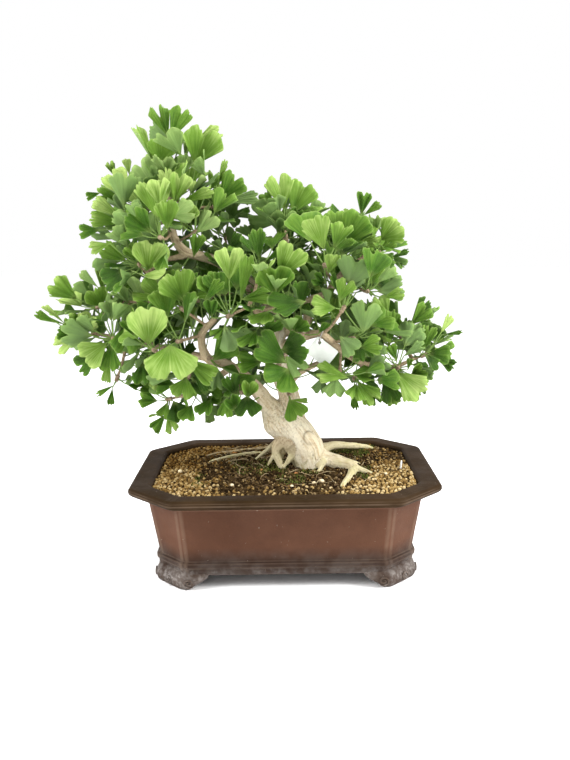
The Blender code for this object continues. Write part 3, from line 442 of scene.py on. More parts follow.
def rounded(points, radius, steps, closed):
    """A line with its corners rounded by short curves, and for each point how far it is on a corner."""
    made = []
    weights = []
    count = len(points)
    for i, point in enumerate(points):
        corner = Vector(point)
        if not closed and i in (0, count - 1):
            made.append(corner)
            weights.append(0.0)
            continue
        before = Vector(points[i - 1]) - corner
        after = Vector(points[(i + 1) % count]) - corner
        start = corner + before * min(0.5, radius / before.length)
        end = corner + after * min(0.5, radius / after.length)
        for step in range(steps + 1):
            part = step / steps
            made.append(start.lerp(corner, part).lerp(corner.lerp(end, part), part))
            weights.append(math.sin(math.pi * part))
    return made, weights


def plan_sizes(inset):
    """Half the pot's length and width and the size of its cut corners, in from the rim's edge."""
    return POT_LENGTH / 2 - inset, POT_WIDTH / 2 - inset, CORNER_CUT - CORNER_SHRINK * inset


def pot_plan(inset):
    """The pot's outline at a distance in from the rim's edge: a rectangle with stepped, cut corners."""
    half_x, half_y, cut = plan_sizes(inset)
    step = CORNER_STEP
    corner = (
        (half_x - cut - step, half_y), (half_x - cut, half_y - step * 0.7),
        (half_x - step * 0.7, half_y - cut), (half_x, half_y - cut - step),
    )
    plan = []
    for sign_x, sign_y in CORNER_SIGNS:
        points = [(sign_x * x, sign_y * y) for x, y in corner]
        plan += points if sign_x * sign_y > 0 else points[::-1]
    return rounded(plan, PLAN_ROUND, ROUND_STEPS, True)


profile, profile_ridge = rounded(POT_PROFILE, PROFILE_ROUND, ROUND_STEPS, False)
print("profile points:", len(profile), "- plan points:", len(pot_plan(0)[0]))

# %% [markdown]
# Each foot wraps a corner like a small cloud: a bulging lobe under the cut corner, with a wing that
# rises along each side to the apron, and a scroll in relief. A loft makes the lobe and a spiral tube,
# half sunk, makes the scroll.

# %% Pot
FOOT_PROFILE = (
    (FOOT_HEIGHT + 4.0, 30.8, 31.0), (13.0, 27.4, 28.5), (9.5, 26.2, 24.0), (6.0, 26.3, 17.5),
    (2.5, 27.4, 12.5), (0.8, 28.6, 10.2), (0.0, 30.2, 9.0),
)
FOOT_DEPTH = 20.0
SCROLL_TURNS = 1.6
SCROLL_REACH = 6.4
SCROLL_WIRE = 0.95
SCROLL_POINTS = 26
SCROLL_INSET = 26.2
# How pale each ridge is drawn: wear, and on the rim's outer edge and the upright corners painted highlight
# too
RIM_WEAR_AND_HIGHLIGHT = 0.9
RIDGE_WEAR = 0.5
CORNER_WEAR_AND_HIGHLIGHT = 0.8
SLIGHT_WEAR = 0.1
FOOT_WEAR = 0.25
SCROLL_WEAR = 0.8


def foot_rings(sign_x, sign_y):
    rings = []
    for z, inset, reach in FOOT_PROFILE:
        half_x, half_y, cut = plan_sizes(inset)
        plan = (
            (half_x - cut - reach, half_y), (half_x - cut, half_y), (half_x, half_y - cut),
            (half_x, half_y - cut - reach), (half_x - FOOT_DEPTH, half_y - cut - reach),
            (half_x - cut - reach, half_y - FOOT_DEPTH),
        )
        smoothed, _ = rounded([(sign_x * x, sign_y * y) for x, y in plan], 6.0, ROUND_STEPS, True)
        rings.append([(point.x, point.y, z) for point in smoothed])
    return rings


def tube_rings(path, radii, sides):
    """Rings round a path, turned as little as possible from one to the next."""
    path = [Vector(point) for point in path]
    ways = [(path[min(k + 1, len(path) - 1)] - path[max(k - 1, 0)]).normalized() for k in range(len(path))]
    side = ways[0].orthogonal().normalized()
    rings = []
    for point, way, radius in zip(path, ways, radii):
        side = (side - way * side.dot(way)).normalized()
        other = way.cross(side)
        turns = [2 * math.pi * i / sides for i in range(sides)]
        rings.append([point + (side * math.cos(a) + other * math.sin(a)) * radius for a in turns])
    return rings


def scroll_path(middle, across, up, outward):
    """A flat spiral that ends in a wing, standing on a foot's face."""
    path = []
    for k in range(SCROLL_POINTS):
        part = k / (SCROLL_POINTS - 1)
        turn = 2 * math.pi * SCROLL_TURNS * part
        reach = 1.2 + (SCROLL_REACH - 1.2) * part
        path.append(middle + across * (reach * math.sin(turn)) + up * (reach * math.cos(turn) * 0.8)
                    + outward * 0.2)
    return path


def make_pot(finish):
    body = Body()
    wear_and_highlight = []
    rings = []
    for k, ((z, inset), ridge) in enumerate(zip(profile, profile_ridge)):
        plan, corner = pot_plan(inset)
        rings.append([(point.x, point.y, z) for point in plan])
        # Pale lines of wear, with painted highlight on the rim's outer edge and on the upright corners
        edge = RIM_WEAR_AND_HIGHLIGHT if 102 < z < 106 and inset < 2 else RIDGE_WEAR if z < 94 else SLIGHT_WEAR
        upright = CORNER_WEAR_AND_HIGHLIGHT if 20 < z < 94 and inset < 31 else SLIGHT_WEAR * 1.2
        wear_and_highlight += [max(ridge * edge, upright * weight * (k > 0)) for weight in corner]
    body.loft(rings)
    piece = body.piece("clay_pot", [finish], {"wear_and_highlight": wear_and_highlight})
    for side in (-1, 1):
        drilled(piece, DRAIN_RADIUS, 4 * FOOT_HEIGHT, 48, (side * DRAIN_X, 0, FOOT_HEIGHT))
    hand_over(piece, "glazed_clay", "pot")


def make_feet(finish):
    body = Body()
    wear_and_highlight = []
    half_x, half_y, cut = plan_sizes(SCROLL_INSET)
    swell = [0.55 + 0.45 * math.sin(math.pi * k / (SCROLL_POINTS - 1)) for k in range(SCROLL_POINTS)]
    radii = [SCROLL_WIRE * share for share in swell]
    for sign_x, sign_y in CORNER_SIGNS:
        wear_and_highlight += [FOOT_WEAR] * body.loft(foot_rings(sign_x, sign_y))
        along_x = Vector((sign_x, 0, 0))
        along_y = Vector((0, sign_y, 0))
        corner = Vector((sign_x * (half_x - cut / 2), sign_y * (half_y - cut / 2), 8))
        front = Vector((sign_x * (half_x - cut - 9), sign_y * half_y, 8.5))
        flank = Vector((sign_x * half_x, sign_y * (half_y - cut - 9), 8.5))
        outward = (along_x + along_y).normalized()
        across = Vector((-sign_y, sign_x, 0)).normalized()
        for middle, way, wide in (
                (corner, outward, across), (front, along_y, along_x), (flank, along_x, along_y)):
            path = scroll_path(middle, wide, Vector((0, 0, 1)), way)
            wear_and_highlight += [SCROLL_WEAR] * body.loft(tube_rings(path, radii, 8))
    hand_over(body.piece("cloud_feet", [finish], {"wear_and_highlight": wear_and_highlight}), "glazed_clay")


# %% [markdown]
# Such clay is brown with a thin slip that is darker on the rim. Hard water leaves pale lime low on the
# pot, and hands wear the ridges. The pale lines on the rim's outer edge and on the upright corners are
# also painted highlight. The finish mixes those by height, by patches and by the mark of wear and
# highlight.

# %% Clay finish
BODY_BROWNS = ((0.060, 0.0262, 0.0150), (0.086, 0.0395, 0.0235))
BURNT = (0.052, 0.024, 0.015)
RIM_BROWNS = ((0.0165, 0.0086, 0.0028), (0.028, 0.0155, 0.0064))
FOOT_GREYS = ((0.020, 0.0135, 0.0105), (0.042, 0.034, 0.029))
LIME = (0.27, 0.25, 0.235)
# Pale rubbed clay, also used as painted highlight on the rim's outer edge and the corners
RUBBED_CLAY_AND_HIGHLIGHT = (0.20, 0.14, 0.10)
CLAY_SPECKS = (0.36, 0.31, 0.26)


def clay_finish():
    coat = Coat("fired_clay", 0.55, 0.03)
    across, _, height = coat.axes(coat.place)
    body = coat.mixed(coat.patches(9.0, 0.5, 0.22), *BODY_BROWNS)
    body = coat.stained(body, coat.patches(60.0, 0.55, 0.2), 0.35, BURNT)
    rim = coat.mixed(coat.patches(22.0, 0.5, 0.2), *RIM_BROWNS)
    colour = coat.mixed(coat.rise(height, 0.0930, 0.0975), body, rim)
    grey = coat.mixed(coat.patches(45.0, 0.5, 0.15), *FOOT_GREYS)
    colour = coat.stained(colour, coat.rise(height, 0.048, 0.030), 0.85, grey)
    fine = coat.rise(coat.patches(260.0, 0.5, 0.12), 0, 1, 0.3, 1.0)
    lime = coat.times(coat.rise(height, 0.027, 0.013), coat.patches(60.0, 0.48, 0.2))
    aside = math_node(coat.tree, "ABSOLUTE", coat.minus(across, POT_PLACE.x))
    on_feet = coat.rise(aside, 0.09, 0.125, 0.44, 0.72)
    colour = coat.stained(colour, coat.times(lime, fine), on_feet, LIME)
    # Wear on the ridges, partly painted highlight on the rim's outer edge and the upright corners
    rubbed_and_lit = coat.times(coat.mark("wear_and_highlight"), coat.patches(36.0, 0.42, 0.2))
    colour = coat.stained(colour, rubbed_and_lit, 0.30, RUBBED_CLAY_AND_HIGHLIGHT)
    coat.paint(coat.stained(colour, coat.patches(330.0, 0.735, 0.02), 0.7, CLAY_SPECKS))
    coat.dull(coat.rise(coat.patches(26.0, 0.5, 0.3), 0, 1, 0.40, 0.60))
    wobble = coat.times(coat.noise(coat.place, 55.0, 2.0), 1.4)
    coat.emboss(coat.plus(wobble, coat.grit(520.0)), 0.00022)
    return coat.material


CLAY = clay_finish()
make_pot(CLAY)
make_feet(CLAY)

# %% [markdown]
# Two pieces of plastic mesh lie over the drain holes and keep the soil in. A wireframe of a square grid
# is just such a mesh, and it can be seen from below through the holes.

# %% Drain screens
SCREEN_SIDE = 38.0
SCREEN_CELLS = 13
SCREEN_LIFT = 0.8
SCREEN_WIRE = 0.7
MESH_BLACKS = ((0.018, 0.018, 0.018), (0.045, 0.042, 0.038))


def make_screens():
    finish = plain_coat("black_mesh", *MESH_BLACKS, 0.6, 200.0, 0.3, border=0.2)
    for number, side in enumerate((-1, 1), 1):
        bpy.ops.mesh.primitive_grid_add(
            x_subdivisions=SCREEN_CELLS, y_subdivisions=SCREEN_CELLS, size=(SCREEN_SIDE - 1) * MM)
        screen = bpy.context.object
        screen.name = f"drain_mesh_{number}"
        screen.data.transform(Matrix.Translation(in_metres((side * DRAIN_X, 0, FLOOR_TOP + SCREEN_LIFT))))
        wires = screen.modifiers.new("wires", "WIREFRAME")
        wires.thickness = SCREEN_WIRE * MM
        screen.data.materials.append(finish)
        finished_mesh(screen)
        hand_over(screen, "mesh_plastic", f"drain_screen_{number}")


make_screens()


# %% [markdown]
# Everything that grows is listed in a table of places. A place is where the eye sees it on an upright
# plane through the trunk, with its depth. Limbs are chains of places with a radius. Each spray is a
# short shoot with the leaves that face the front; the rest are drawn at random inside foliage pads.

# %% Limbs and sprays
# Each limb: places sighted on the plane through the trunk (x, z), the depth y there, and a radius
LIMBS = {
    "trunk": ((33, 74, 2, 15), (31, 96, 0, 18), (29, 114, -2, 20), (23, 132, -3, 21), (11, 148, -3, 21.5),
        (0, 162, -2, 20), (-6, 172, -1, 13)),
    "leader": ((14, 150, -2, 15), (9, 174, 0, 13), (5, 196, 0, 12), (-4, 220, -2, 11), (-9, 240, -4, 12),
        (-9, 255, -8, 11.5), (-6, 274, 0, 9), (-16, 298, 5, 7.5), (-38, 322, 6, 6.5), (-72, 345, 4, 5.8),
        (-108, 357, 0, 5.2), (-121, 378, 0, 4.6), (-123, 402, 2, 3.6), (-119, 426, 4, 2.4)),
    "left_branch": ((-2, 158, -4, 12), (-13, 176, -5, 10.5), (-24, 190, -6, 9), (-40, 210, -14, 7),
        (-62, 227, -25, 5.8), (-86, 236, -38, 5), (-92, 262, -40, 4.2), (-76, 281, -52, 3.4)),
    "left_long": ((-82, 235, -36, 4.4), (-128, 247, -20, 3.6), (-176, 258, -12, 3), (-212, 266, -7, 2.2)),
    "left_low": ((-58, 226, -24, 4), (-90, 204, -15, 3), (-118, 192, -8, 2.1)),
    "left_middle": ((-36, 320, 6, 4.6), (-78, 306, 10, 4), (-120, 300, 8, 3.3), (-168, 300, 4, 2.7),
        (-192, 301, 2, 2.1)),
    "upper_left": ((-98, 353, 0, 4), (-132, 346, -8, 3), (-152, 332, -14, 2.3)),
    "top_right": ((-12, 292, 4, 5.6), (4, 326, 8, 4.8), (6, 356, 6, 3.6), (4, 376, 2, 2.6)),
    "right": ((-8, 262, -4, 6.4), (26, 274, -14, 5.4), (28, 297, -22, 4.8), (50, 308, -25, 4.3),
        (68, 330, -20, 3.5), (92, 348, -8, 2.6)),
    "right_low": ((-6, 246, -6, 6), (24, 259, -34, 4.8), (44, 261, -50, 4.2), (66, 243, -40, 3.8),
        (92, 227, -32, 3.3), (124, 223, -15, 2.7), (148, 231, -8, 2.1)),
    "front": ((-8, 262, -6, 5.4), (-24, 284, -40, 3.8), (-38, 294, -66, 2.4)),
    "back_left": ((-20, 304, 6, 5), (-58, 315, 50, 3.8), (-96, 320, 92, 2.6)),
    "back_right": ((-8, 270, 0, 5.6), (20, 286, 50, 4.2), (44, 300, 96, 2.8)),
    "back_low": ((4, 204, 2, 5.4), (22, 220, 45, 4), (60, 236, 84, 2.8)),
    "back_low_left": ((-30, 199, -8, 5), (-56, 222, 34, 3.6), (-94, 240, 72, 2.6)),
    "right_root": ((34, 118, -2, 13), (54, 112, -4, 10.5), (74, 107, -13, 8), (85, 100, -27, 5.6)),
    "front_fork": ((80, 101, -24, 5.4), (75, 92, -46, 4), (68, 83, -70, 3), (66, 73, -82, 2)),
    "side_fork": ((80, 104, -20, 5), (97, 98, -29, 3.2), (112, 89, -34, 2)),
    "back_root": ((32, 122, 4, 9), (54, 131, 26, 5), (75, 131, 54, 4), (95, 129, 82, 3),
        (108, 124, 90, 2)),
    "left_root": ((24, 96, 4, 8), (0, 108, 44, 3), (-30, 123, 62, 2.6), (-82, 115, 34, 2.2),
        (-92, 104, 28, 1.6)),
    "left_strut": ((2, 142, -6, 7), (-10, 129, -9, 5), (-6, 112, -13, 4.2), (2, 97, -15, 3)),
}
LIMB_STEP = 3.0
ROOTS = ("trunk", "right_root", "front_fork", "side_fork", "back_root", "left_root", "left_strut")

# Each spray: where its short shoot sits (x, z, y), how many more leaves fill it, and the leaves that
# face the front. A leaf is the base of its blade (x, z), the middle of its margin (x, z), half its
# spread in degrees, its curl (1 flat, 0.35 a funnel), its turn about its own length and how far its
# tip lies behind its base.
SPRAYS = {
    "apex": ((-118, 436, 2), 1, (
        (-121, 479, -133, 511, 25, 0.9, 25, 6), (-119, 476, -103, 509, 25, 0.85, -20, 4),
        (-131, 451, -128, 479, 52, 0.75, 10, -6), (-121, 474, -139, 493, 34, 0.8, 160, 14),
        (-138, 452, -158, 491, 26, 0.6, 70, -4))),
    "crown_right": ((-97, 424, 8), 2, (
        (-93, 449, -79, 489, 48, 0.62, 5, -8), (-103, 425, -98, 453, 50, 0.8, -15, 8))),
    "crown_front": ((-114, 398, -34), 2, (
        (-117, 408, -109, 442, 30, 0.7, 20, -8), (-111, 409, -76, 424, 20, 0.6, 50, -6),
        (-119, 414, -128, 446, 24, 0.8, -40, 2))),
    "neck_right": ((-72, 404, 10), 1, (
        (-70, 424, -60, 454, 15, 0.8, 60, 0), (-66, 411, -46, 438, 36, 0.85, 10, 6),
        (-66, 409, -25, 415, 13, 0.9, 160, -8), (-78, 422, -72, 441, 34, 0.6, 20, 10))),
    "crown_left": ((-150, 404, -6), 1, (
        (-137, 424, -156, 454, 40, 0.8, 165, 10), (-166, 414, -187, 444, 32, 0.75, 10, -4),
        (-170, 419, -197, 432, 22, 0.8, 150, 8), (-172, 413, -203, 420, 26, 0.7, -20, -8))),
    "shoulder": ((-167, 387, -14), 1, (
        (-176, 394, -206, 413, 20, 0.8, 30, -2), (-174, 388, -211, 394, 19, 0.7, 20, -6),
        (-181, 371, -210, 381, 24, 0.7, 165, 2), (-146, 400, -168, 421, 16, 0.8, 40, 8))),
    "crown_low": ((-134, 372, -56), 2, (
        (-144, 377, -166, 402, 44, 0.5, -12, -10), (-136, 392, -143, 433, 36, 0.8, 15, 14),
        (-126, 380, -127, 413, 30, 0.55, 10, -14))),
    "neck_low": ((-96, 377, -26), 3, (
        (-110, 385, -101, 410, 40, 0.7, 5, -8), (-94, 376, -74, 398, 34, 0.8, 160, 4),
        (-98, 350, -92, 376, 26, 0.6, 20, -6))),
    "upper_left": ((-158, 342, -34), 2, (
        (-172, 346, -200, 362, 24, 0.8, 10, -2), (-168, 350, -186, 360, 20, 0.7, 150, 8),
        (-158, 346, -172, 364, 28, 0.8, 0, -4), (-150, 336, -144, 370, 48, 0.75, 10, -10),
        (-168, 341, -198, 342, 13, 0.8, 60, 0))),
    "left_back": ((-162, 308, 14), 2, (
        (-162, 318, -185, 326, 27, 0.8, 0, -4), (-162, 304, -184, 312, 24, 0.8, 160, 6),
        (-155, 298, -155, 330, 46, 0.75, 170, -24))),
    "left_middle": ((-112, 292, -62), 2, (
        (-111, 300, -124, 335, 50, 0.8, 10, -6), (-113, 296, -147, 308, 13, 0.8, 30, -10))),
    "far_left_top": ((-206, 296, -2), 1, (
        (-230, 305, -258, 324, 34, 0.7, 15, 0), (-206, 318, -225, 335, 15, 0.7, 160, 6),
        (-201, 310, -204, 343, 14, 0.8, 40, 4), (-202, 296, -213, 317, 42, 0.75, 0, -14),
        (-193, 288, -189, 312, 34, 0.8, 165, 8))),
    "far_left": ((-228, 262, -6), 1, (
        (-231, 267, -243, 287, 32, 0.55, 15, -14), (-227, 266, -214, 288, 34, 0.6, -12, -12),
        (-231, 262, -256, 268, 27, 0.7, 20, -6), (-247, 279, -269, 298, 16, 0.7, 60, 8),
        (-246, 277, -274, 286, 10, 0.8, 40, 6))),
    "left_low": ((-192, 260, -26), 2, (
        (-200, 255, -229, 236, 42, 0.75, -8, -8), (-194, 254, -199, 222, 32, 0.8, 20, -12),
        (-197, 240, -203, 209, 14, 0.8, 30, 4), (-174, 276, -180, 242, 40, 0.85, 10, -14))),
    "left_front": ((-146, 246, -66), 1, (
        (-152, 252, -153, 297, 44, 0.5, 0, -16), (-168, 262, -178, 282, 30, 0.7, 20, 8))),
    "left_fan": ((-118, 256, -72), 1, (
        (-128, 252, -128, 209, 60, 0.9, 4, -16), (-112, 236, -78, 212, 22, 0.8, 15, -6),
        (-107, 232, -86, 197, 13, 0.7, 30, -8))),
    "left_under": ((-150, 236, -24), 1, (
        (-160, 234, -162, 206, 34, 0.8, 10, -6), (-142, 229, -143, 200, 30, 0.8, -15, -2),
        (-172, 228, -186, 222, 20, 0.8, 160, 4))),
    "left_hanging": ((-190, 214, -10), 0, (
        (-194, 206, -214, 195, 14, 0.7, 40, 0), (-196, 203, -199, 183, 16, 0.7, 20, -6))),
    "low_left": ((-132, 189, -8), 0, (
        (-145, 187, -166, 191, 40, 0.8, 10, 0), (-134, 185, -139, 166, 34, 0.8, 15, 6),
        (-127, 187, -117, 163, 46, 0.85, -5, -8), (-134, 173, -128, 149, 24, 0.8, 20, -14),
        (-141, 172, -156, 169, 12, 0.7, 60, 4))),
    "low_left_inner": ((-108, 216, -38), 1, (
        (-111, 214, -118, 189, 50, 0.85, 5, -6), (-104, 212, -98, 192, 36, 0.8, 20, 6))),
    "centre": ((-60, 284, -84), 0, (
        (-59, 324, -58, 361, 36, 0.75, 8, -4), (-47, 299, -38, 351, 12, 0.7, 25, -8),
        (-46, 302, -12, 308, 22, 0.7, 30, -14), (-88, 300, -68, 324, 16, 0.6, 10, -6),
        (-80, 282, -80, 303, 34, 0.5, -10, -4), (-66, 273, -50, 247, 42, 0.8, 165, 6))),
    "centre_high": ((-24, 336, -66), 1, (
        (-25, 344, -28, 380, 20, 0.6, 15, -4), (-20, 342, 6, 363, 15, 0.7, 40, -8),
        (-32, 330, -22, 341, 20, 0.8, 20, -6))),
    "centre_right": ((4, 300, -70), 1, (
        (-4, 326, 17, 362, 32, 0.85, 0, -10), (-8, 306, -8, 339, 42, 0.85, 6, -22),
        (26, 299, -14, 292, 34, 0.7, 40, -18))),
    "heart": ((4, 240, -64), 0, (
        (4, 229, -34, 252, 34, 0.5, 30, -22), (-22, 262, -6, 281, 32, 0.45, 20, -14),
        (-2, 244, 28, 250, 44, 0.8, 8, -16), (2, 238, 23, 217, 34, 0.85, 165, -8))),
    "heart_right": ((22, 262, -58), 1, (
        (12, 264, 25, 280, 46, 0.8, 10, -4), (40, 262, 50, 275, 16, 0.6, 30, -14))),
    "front_low": ((-6, 226, -62), 0, (
        (6, 222, -14, 201, 54, 0.8, 4, -26),)),
    "funnels": ((-48, 196, -66), 0, (
        (-40, 190, -39, 211, 44, 0.36, 10, -14), (-55, 191, -62, 217, 32, 0.75, 10, -4),
        (-56, 177, -64, 192, 44, 0.4, 10, -14), (-42, 192, -43, 166, 50, 0.85, 0, -16))),
    "trunk_right": ((6, 193, -36), 0, (
        (6, 187, 18, 163, 44, 0.85, 0, -6), (8, 186, 28, 185, 12, 0.8, 20, -4))),
    "left_centre": ((-84, 236, -58), 0, (
        (-80, 233, -56, 257, 32, 0.75, 5, -10), (-76, 226, -76, 198, 30, 0.8, 165, 10))),
    "top_right": ((4, 386, 0), 1, (
        (3, 400, -4, 438, 32, 0.8, 12, 0), (12, 396, 28, 429, 40, 0.75, -6, 6),
        (-4, 386, -36, 399, 42, 0.8, 165, 10), (10, 382, 20, 402, 34, 0.8, 20, -8))),
    "right_centre": ((48, 338, -58), 2, (
        (47, 356, 35, 393, 32, 0.8, -5, -2), (48, 318, 34, 326, 30, 0.7, 10, -12),
        (52, 330, 58, 352, 30, 0.7, 20, -8))),
    "right_high": ((68, 346, -26), 1, (
        (62, 370, 58, 399, 42, 0.75, 10, 8), (69, 361, 90, 395, 36, 0.8, -5, -8),
        (72, 357, 108, 367, 16, 0.7, 35, -8))),
    "right_top": ((88, 376, 6), 0, (
        (88, 393, 92, 419, 24, 0.8, 10, 4), (91, 393, 109, 406, 17, 0.8, 20, -4))),
    "right_shoulder": ((106, 352, -16), 2, (
        (110, 366, 132, 384, 48, 0.75, 0, -12), (107, 353, 126, 366, 24, 0.7, 20, -4),
        (118, 345, 141, 354, 12, 0.7, 40, 0))),
    "right_middle": ((94, 310, -56), 2, (
        (100, 316, 105, 343, 30, 0.75, 10, -8), (106, 309, 137, 313, 34, 0.85, 165, 2),
        (86, 318, 84, 346, 44, 0.8, 10, 4), (99, 334, 126, 344, 25, 0.8, 20, 10))),
    "right_front": ((68, 290, -72), 2, (
        (60, 291, 32, 293, 30, 0.7, 20, -14), (91, 262, 95, 298, 36, 0.85, 170, -8),
        (64, 298, 74, 324, 32, 0.8, 10, -4))),
    "right_end_top": ((134, 256, -6), 1, (
        (145, 271, 165, 292, 30, 0.75, 5, 0), (120, 244, 123, 288, 18, 0.7, 30, 6),
        (126, 262, 129, 279, 32, 0.7, 0, -10))),
    "right_end": ((160, 236, -8), 0, (
        (159, 240, 167, 270, 22, 0.8, 10, -2), (165, 238, 191, 235, 34, 0.8, -5, -6),
        (154, 240, 134, 258, 40, 0.85, 165, -8), (178, 260, 190, 281, 17, 0.7, 30, 6),
        (180, 259, 203, 262, 9, 0.8, 40, 4))),
    "right_low_front": ((78, 256, -66), 2, (
        (87, 246, 112, 251, 36, 0.75, 5, -8), (64, 259, 84, 240, 38, 0.85, 170, -4),
        (82, 262, 96, 232, 30, 0.8, 20, 4))),
    "right_low_end": ((130, 222, -28), 0, (
        (142, 219, 144, 233, 22, 0.7, 20, 4), (129, 217, 159, 189, 36, 0.75, 0, -10),
        (146, 214, 162, 222, 36, 0.5, 20, -14), (115, 213, 126, 181, 27, 0.8, 10, 4))),
    "right_low": ((82, 212, -38), 0, (
        (84, 206, 107, 183, 32, 0.8, 15, -4), (80, 200, 82, 174, 14, 0.7, 30, 6))),
    "right_under": ((64, 216, -56), 0, (
        (74, 211, 38, 220, 24, 0.8, 15, -10), (60, 212, 58, 188, 46, 0.85, 165, -4),
        (44, 212, 41, 193, 34, 0.8, 170, 8))),
    "back_crown": ((-120, 404, 44), 9, ()),
    "back_neck": ((-62, 372, 62), 9, ()),
    "back_left_high": ((-150, 338, 44), 9, ()),
    "back_far_left": ((-202, 286, 46), 9, ()),
    "back_left": ((-110, 300, 96), 9, ()),
    "back_middle": ((-44, 318, 100), 9, ()),
    "back_top": ((16, 352, 64), 9, ()),
    "back_right": ((68, 322, 84), 9, ()),
    "back_right_low": ((84, 256, 78), 9, ()),
    "back_right_end": ((134, 258, 44), 9, ()),
    "back_low_left": ((-110, 240, 68), 9, ()),
}

# Foliage pads that the filling leaves stay in: middle (x, z, y) and half sizes (x, z, y)
PADS = (
    (-118, 452, 0, 44, 50, 46), (-136, 402, 0, 72, 46, 72), (-60, 408, 8, 34, 30, 50),
    (-160, 335, 0, 44, 36, 70), (-212, 282, 0, 46, 44, 52), (-134, 290, 8, 74, 54, 96),
    (-150, 226, -2, 38, 32, 56), (-40, 300, 0, 74, 74, 120), (6, 392, 2, 44, 40, 62),
    (82, 344, 4, 54, 54, 88), (78, 258, 6, 70, 50, 92), (146, 248, 4, 44, 36, 56),
    (-46, 204, -4, 38, 30, 84), (128, 208, -4, 40, 26, 46),
)
# What stays in view from the front: left, bottom, right and top of each window
CLEAR_VIEWS = (
    (-30, 95, 70, 164), (-34, 160, 26, 201), (-22, 215, 4, 267), (29, 225, 64, 258), (-97, 236, -68, 286),
)
SEED = 11
NOTCH_WIDTH = 0.12
SIDE_DROOP = 0.15
RIPPLE = 0.03
STALK_SAG = 0.06
SET_FORWARD = 4.0
FRONT_STEPS = (-1.0, -0.62, -0.22, 0.0, 0.22, 0.62, 1.0)
FILL_STEPS = (-1.0, -0.4, 0.0, 0.4, 1.0)
TEST_STALK = 1.6
TEST_GROWTH = 1.03
FILL_TRIES = 60
FILL_REACH = (29.0, 40.0)
FILL_STALK = (16.0, 34.0)
FILL_SPREAD = (34.0, 54.0)
FILL_CURL = (0.5, 0.92)
FILL_AWAY = 0.55
FILL_ALONG = 0.35
FILL_RISE = 0.25
FILL_WILD = 0.95
FILL_NOD = 0.35
FILL_TURN = 28.0
CROWN_MIDDLE = Vector((-20.0, 0.0, 250.0))
VIEW_DEPTH = 25.0
SHIFTS = (0, 5, -5, 10, -10, 15, -15, 21, -21, 27, -27, 34, -34, 42, 50)
GAP = 0.3
SHOOT_RADIUS = 2.5
STALK_INSET = 0.8
SHOOT_BACK = 4.0
SHOOT_FRONT = 3.0
TWIG_RADIUS = 1.8
TWIG_ROOT_RADIUS = 2.4
TWIG_SAG = 0.08
TWIG_BEND = 0.55
STRAIGHT_TWIG = 34.0
TWIG_CLEARANCE = 9.0
TWIG_CHOICES = 40


def sighted(x, z, y=0.0):
    """The place at depth y that shows at (x, z) on the plane through the trunk, seen from the eye."""
    return EYE + (Vector((x, 0.0, z)) - EYE) * ((y - EYE.y) / -EYE.y)


def shows_at(point):
    """Where a place shows on the plane through the trunk."""
    seen = EYE + (Vector(point) - EYE) * (-EYE.y / (point[1] - EYE.y))
    return seen.x, seen.z


def limb_path(places):
    """A limb's places in space and its radius at each."""
    return [sighted(x, z, y) for x, z, y, _ in places], [place[3] for place in places]


def smooth_path(points, radii):
    """A curve through the places of a limb, sampled every few millimetres."""
    points = [np.array(point) for point in points]
    points = [2 * points[0] - points[1]] + points + [2 * points[-1] - points[-2]]
    path = []
    widths = []
    for k in range(1, len(points) - 2):
        a, b, c, d = points[k - 1:k + 3]
        steps = max(2, round(np.linalg.norm(c - b) / LIMB_STEP))
        for step in range(steps + (k == len(points) - 3)):
            t = step / steps
            place = 0.5 * (2 * b + (c - a) * t + (2 * a - 5 * b + 4 * c - d) * t * t
                           + (3 * b - a - 3 * c + d) * t ** 3)
            path.append(Vector(place))
            ease = t * t * (3 - 2 * t)
            widths.append(radii[k - 1] * (1 - ease) + radii[k] * ease)
    return path, widths


def is_clear(spot, target, other):
    """Whether the straight way from a spot to a target keeps clear of another shoot."""
    along = max(0.0, min(1.0, (other - spot).dot(target - spot) / (target - spot).length_squared))
    return (spot.lerp(target, along) - other).length >= TWIG_CLEARANCE


def nearest_on_limbs(target, shoots):
    """Where a twig to a shoot leaves the limbs: the nearest place whose way there is clear."""
    spots = []
    for points, radii in (limb_path(places) for name, places in LIMBS.items() if name not in ROOTS):
        for k in range(len(points) - 1):
            for part in (0.0, 0.5, 1.0):
                spot = points[k].lerp(points[k + 1], part)
                radius = radii[k] + (radii[k + 1] - radii[k]) * part
                spots.append(((spot - target).length - radius, spot))
    spots.sort(key=lambda item: item[0])
    for _, spot in spots[:TWIG_CHOICES]:
        if all(is_clear(spot, target, other) for other in shoots if (other - target).length >= 1.0):
            return spot
    return spots[0][1]


def shoot_frames():
    """Each spray's shoot: its middle, the way it points and where its twig leaves the limbs."""
    middles = {name: sighted(*spray[0]) for name, spray in SPRAYS.items()}
    frames = {}
    for name, middle in middles.items():
        root = nearest_on_limbs(middle, middles.values())
        length = (middle - root).length
        sag = TWIG_SAG * length if length > STRAIGHT_TWIG + SHOOT_BACK + GAP else 0.0
        bend = root.lerp(middle, TWIG_BEND) + Vector((0, 0, -sag))
        frames[name] = (middle, (middle - bend).normalized(), root, bend)
    return frames


# %% [markdown]
# A leaf is a fan on a stalk. Its blade is part of a cone, so one number curls it from flat to a funnel.
# The same numbers draw the solid and this finer skin, so the two stay together.

# %% Leaf
STALK_RADIUS = 0.95
BLADE_THICK = 0.75
TIGHTEST_CURL = 2.6
MARGIN_STEP = 0.03
OUTER_TESTED = 0.35
OUTER_KEPT = 0.3


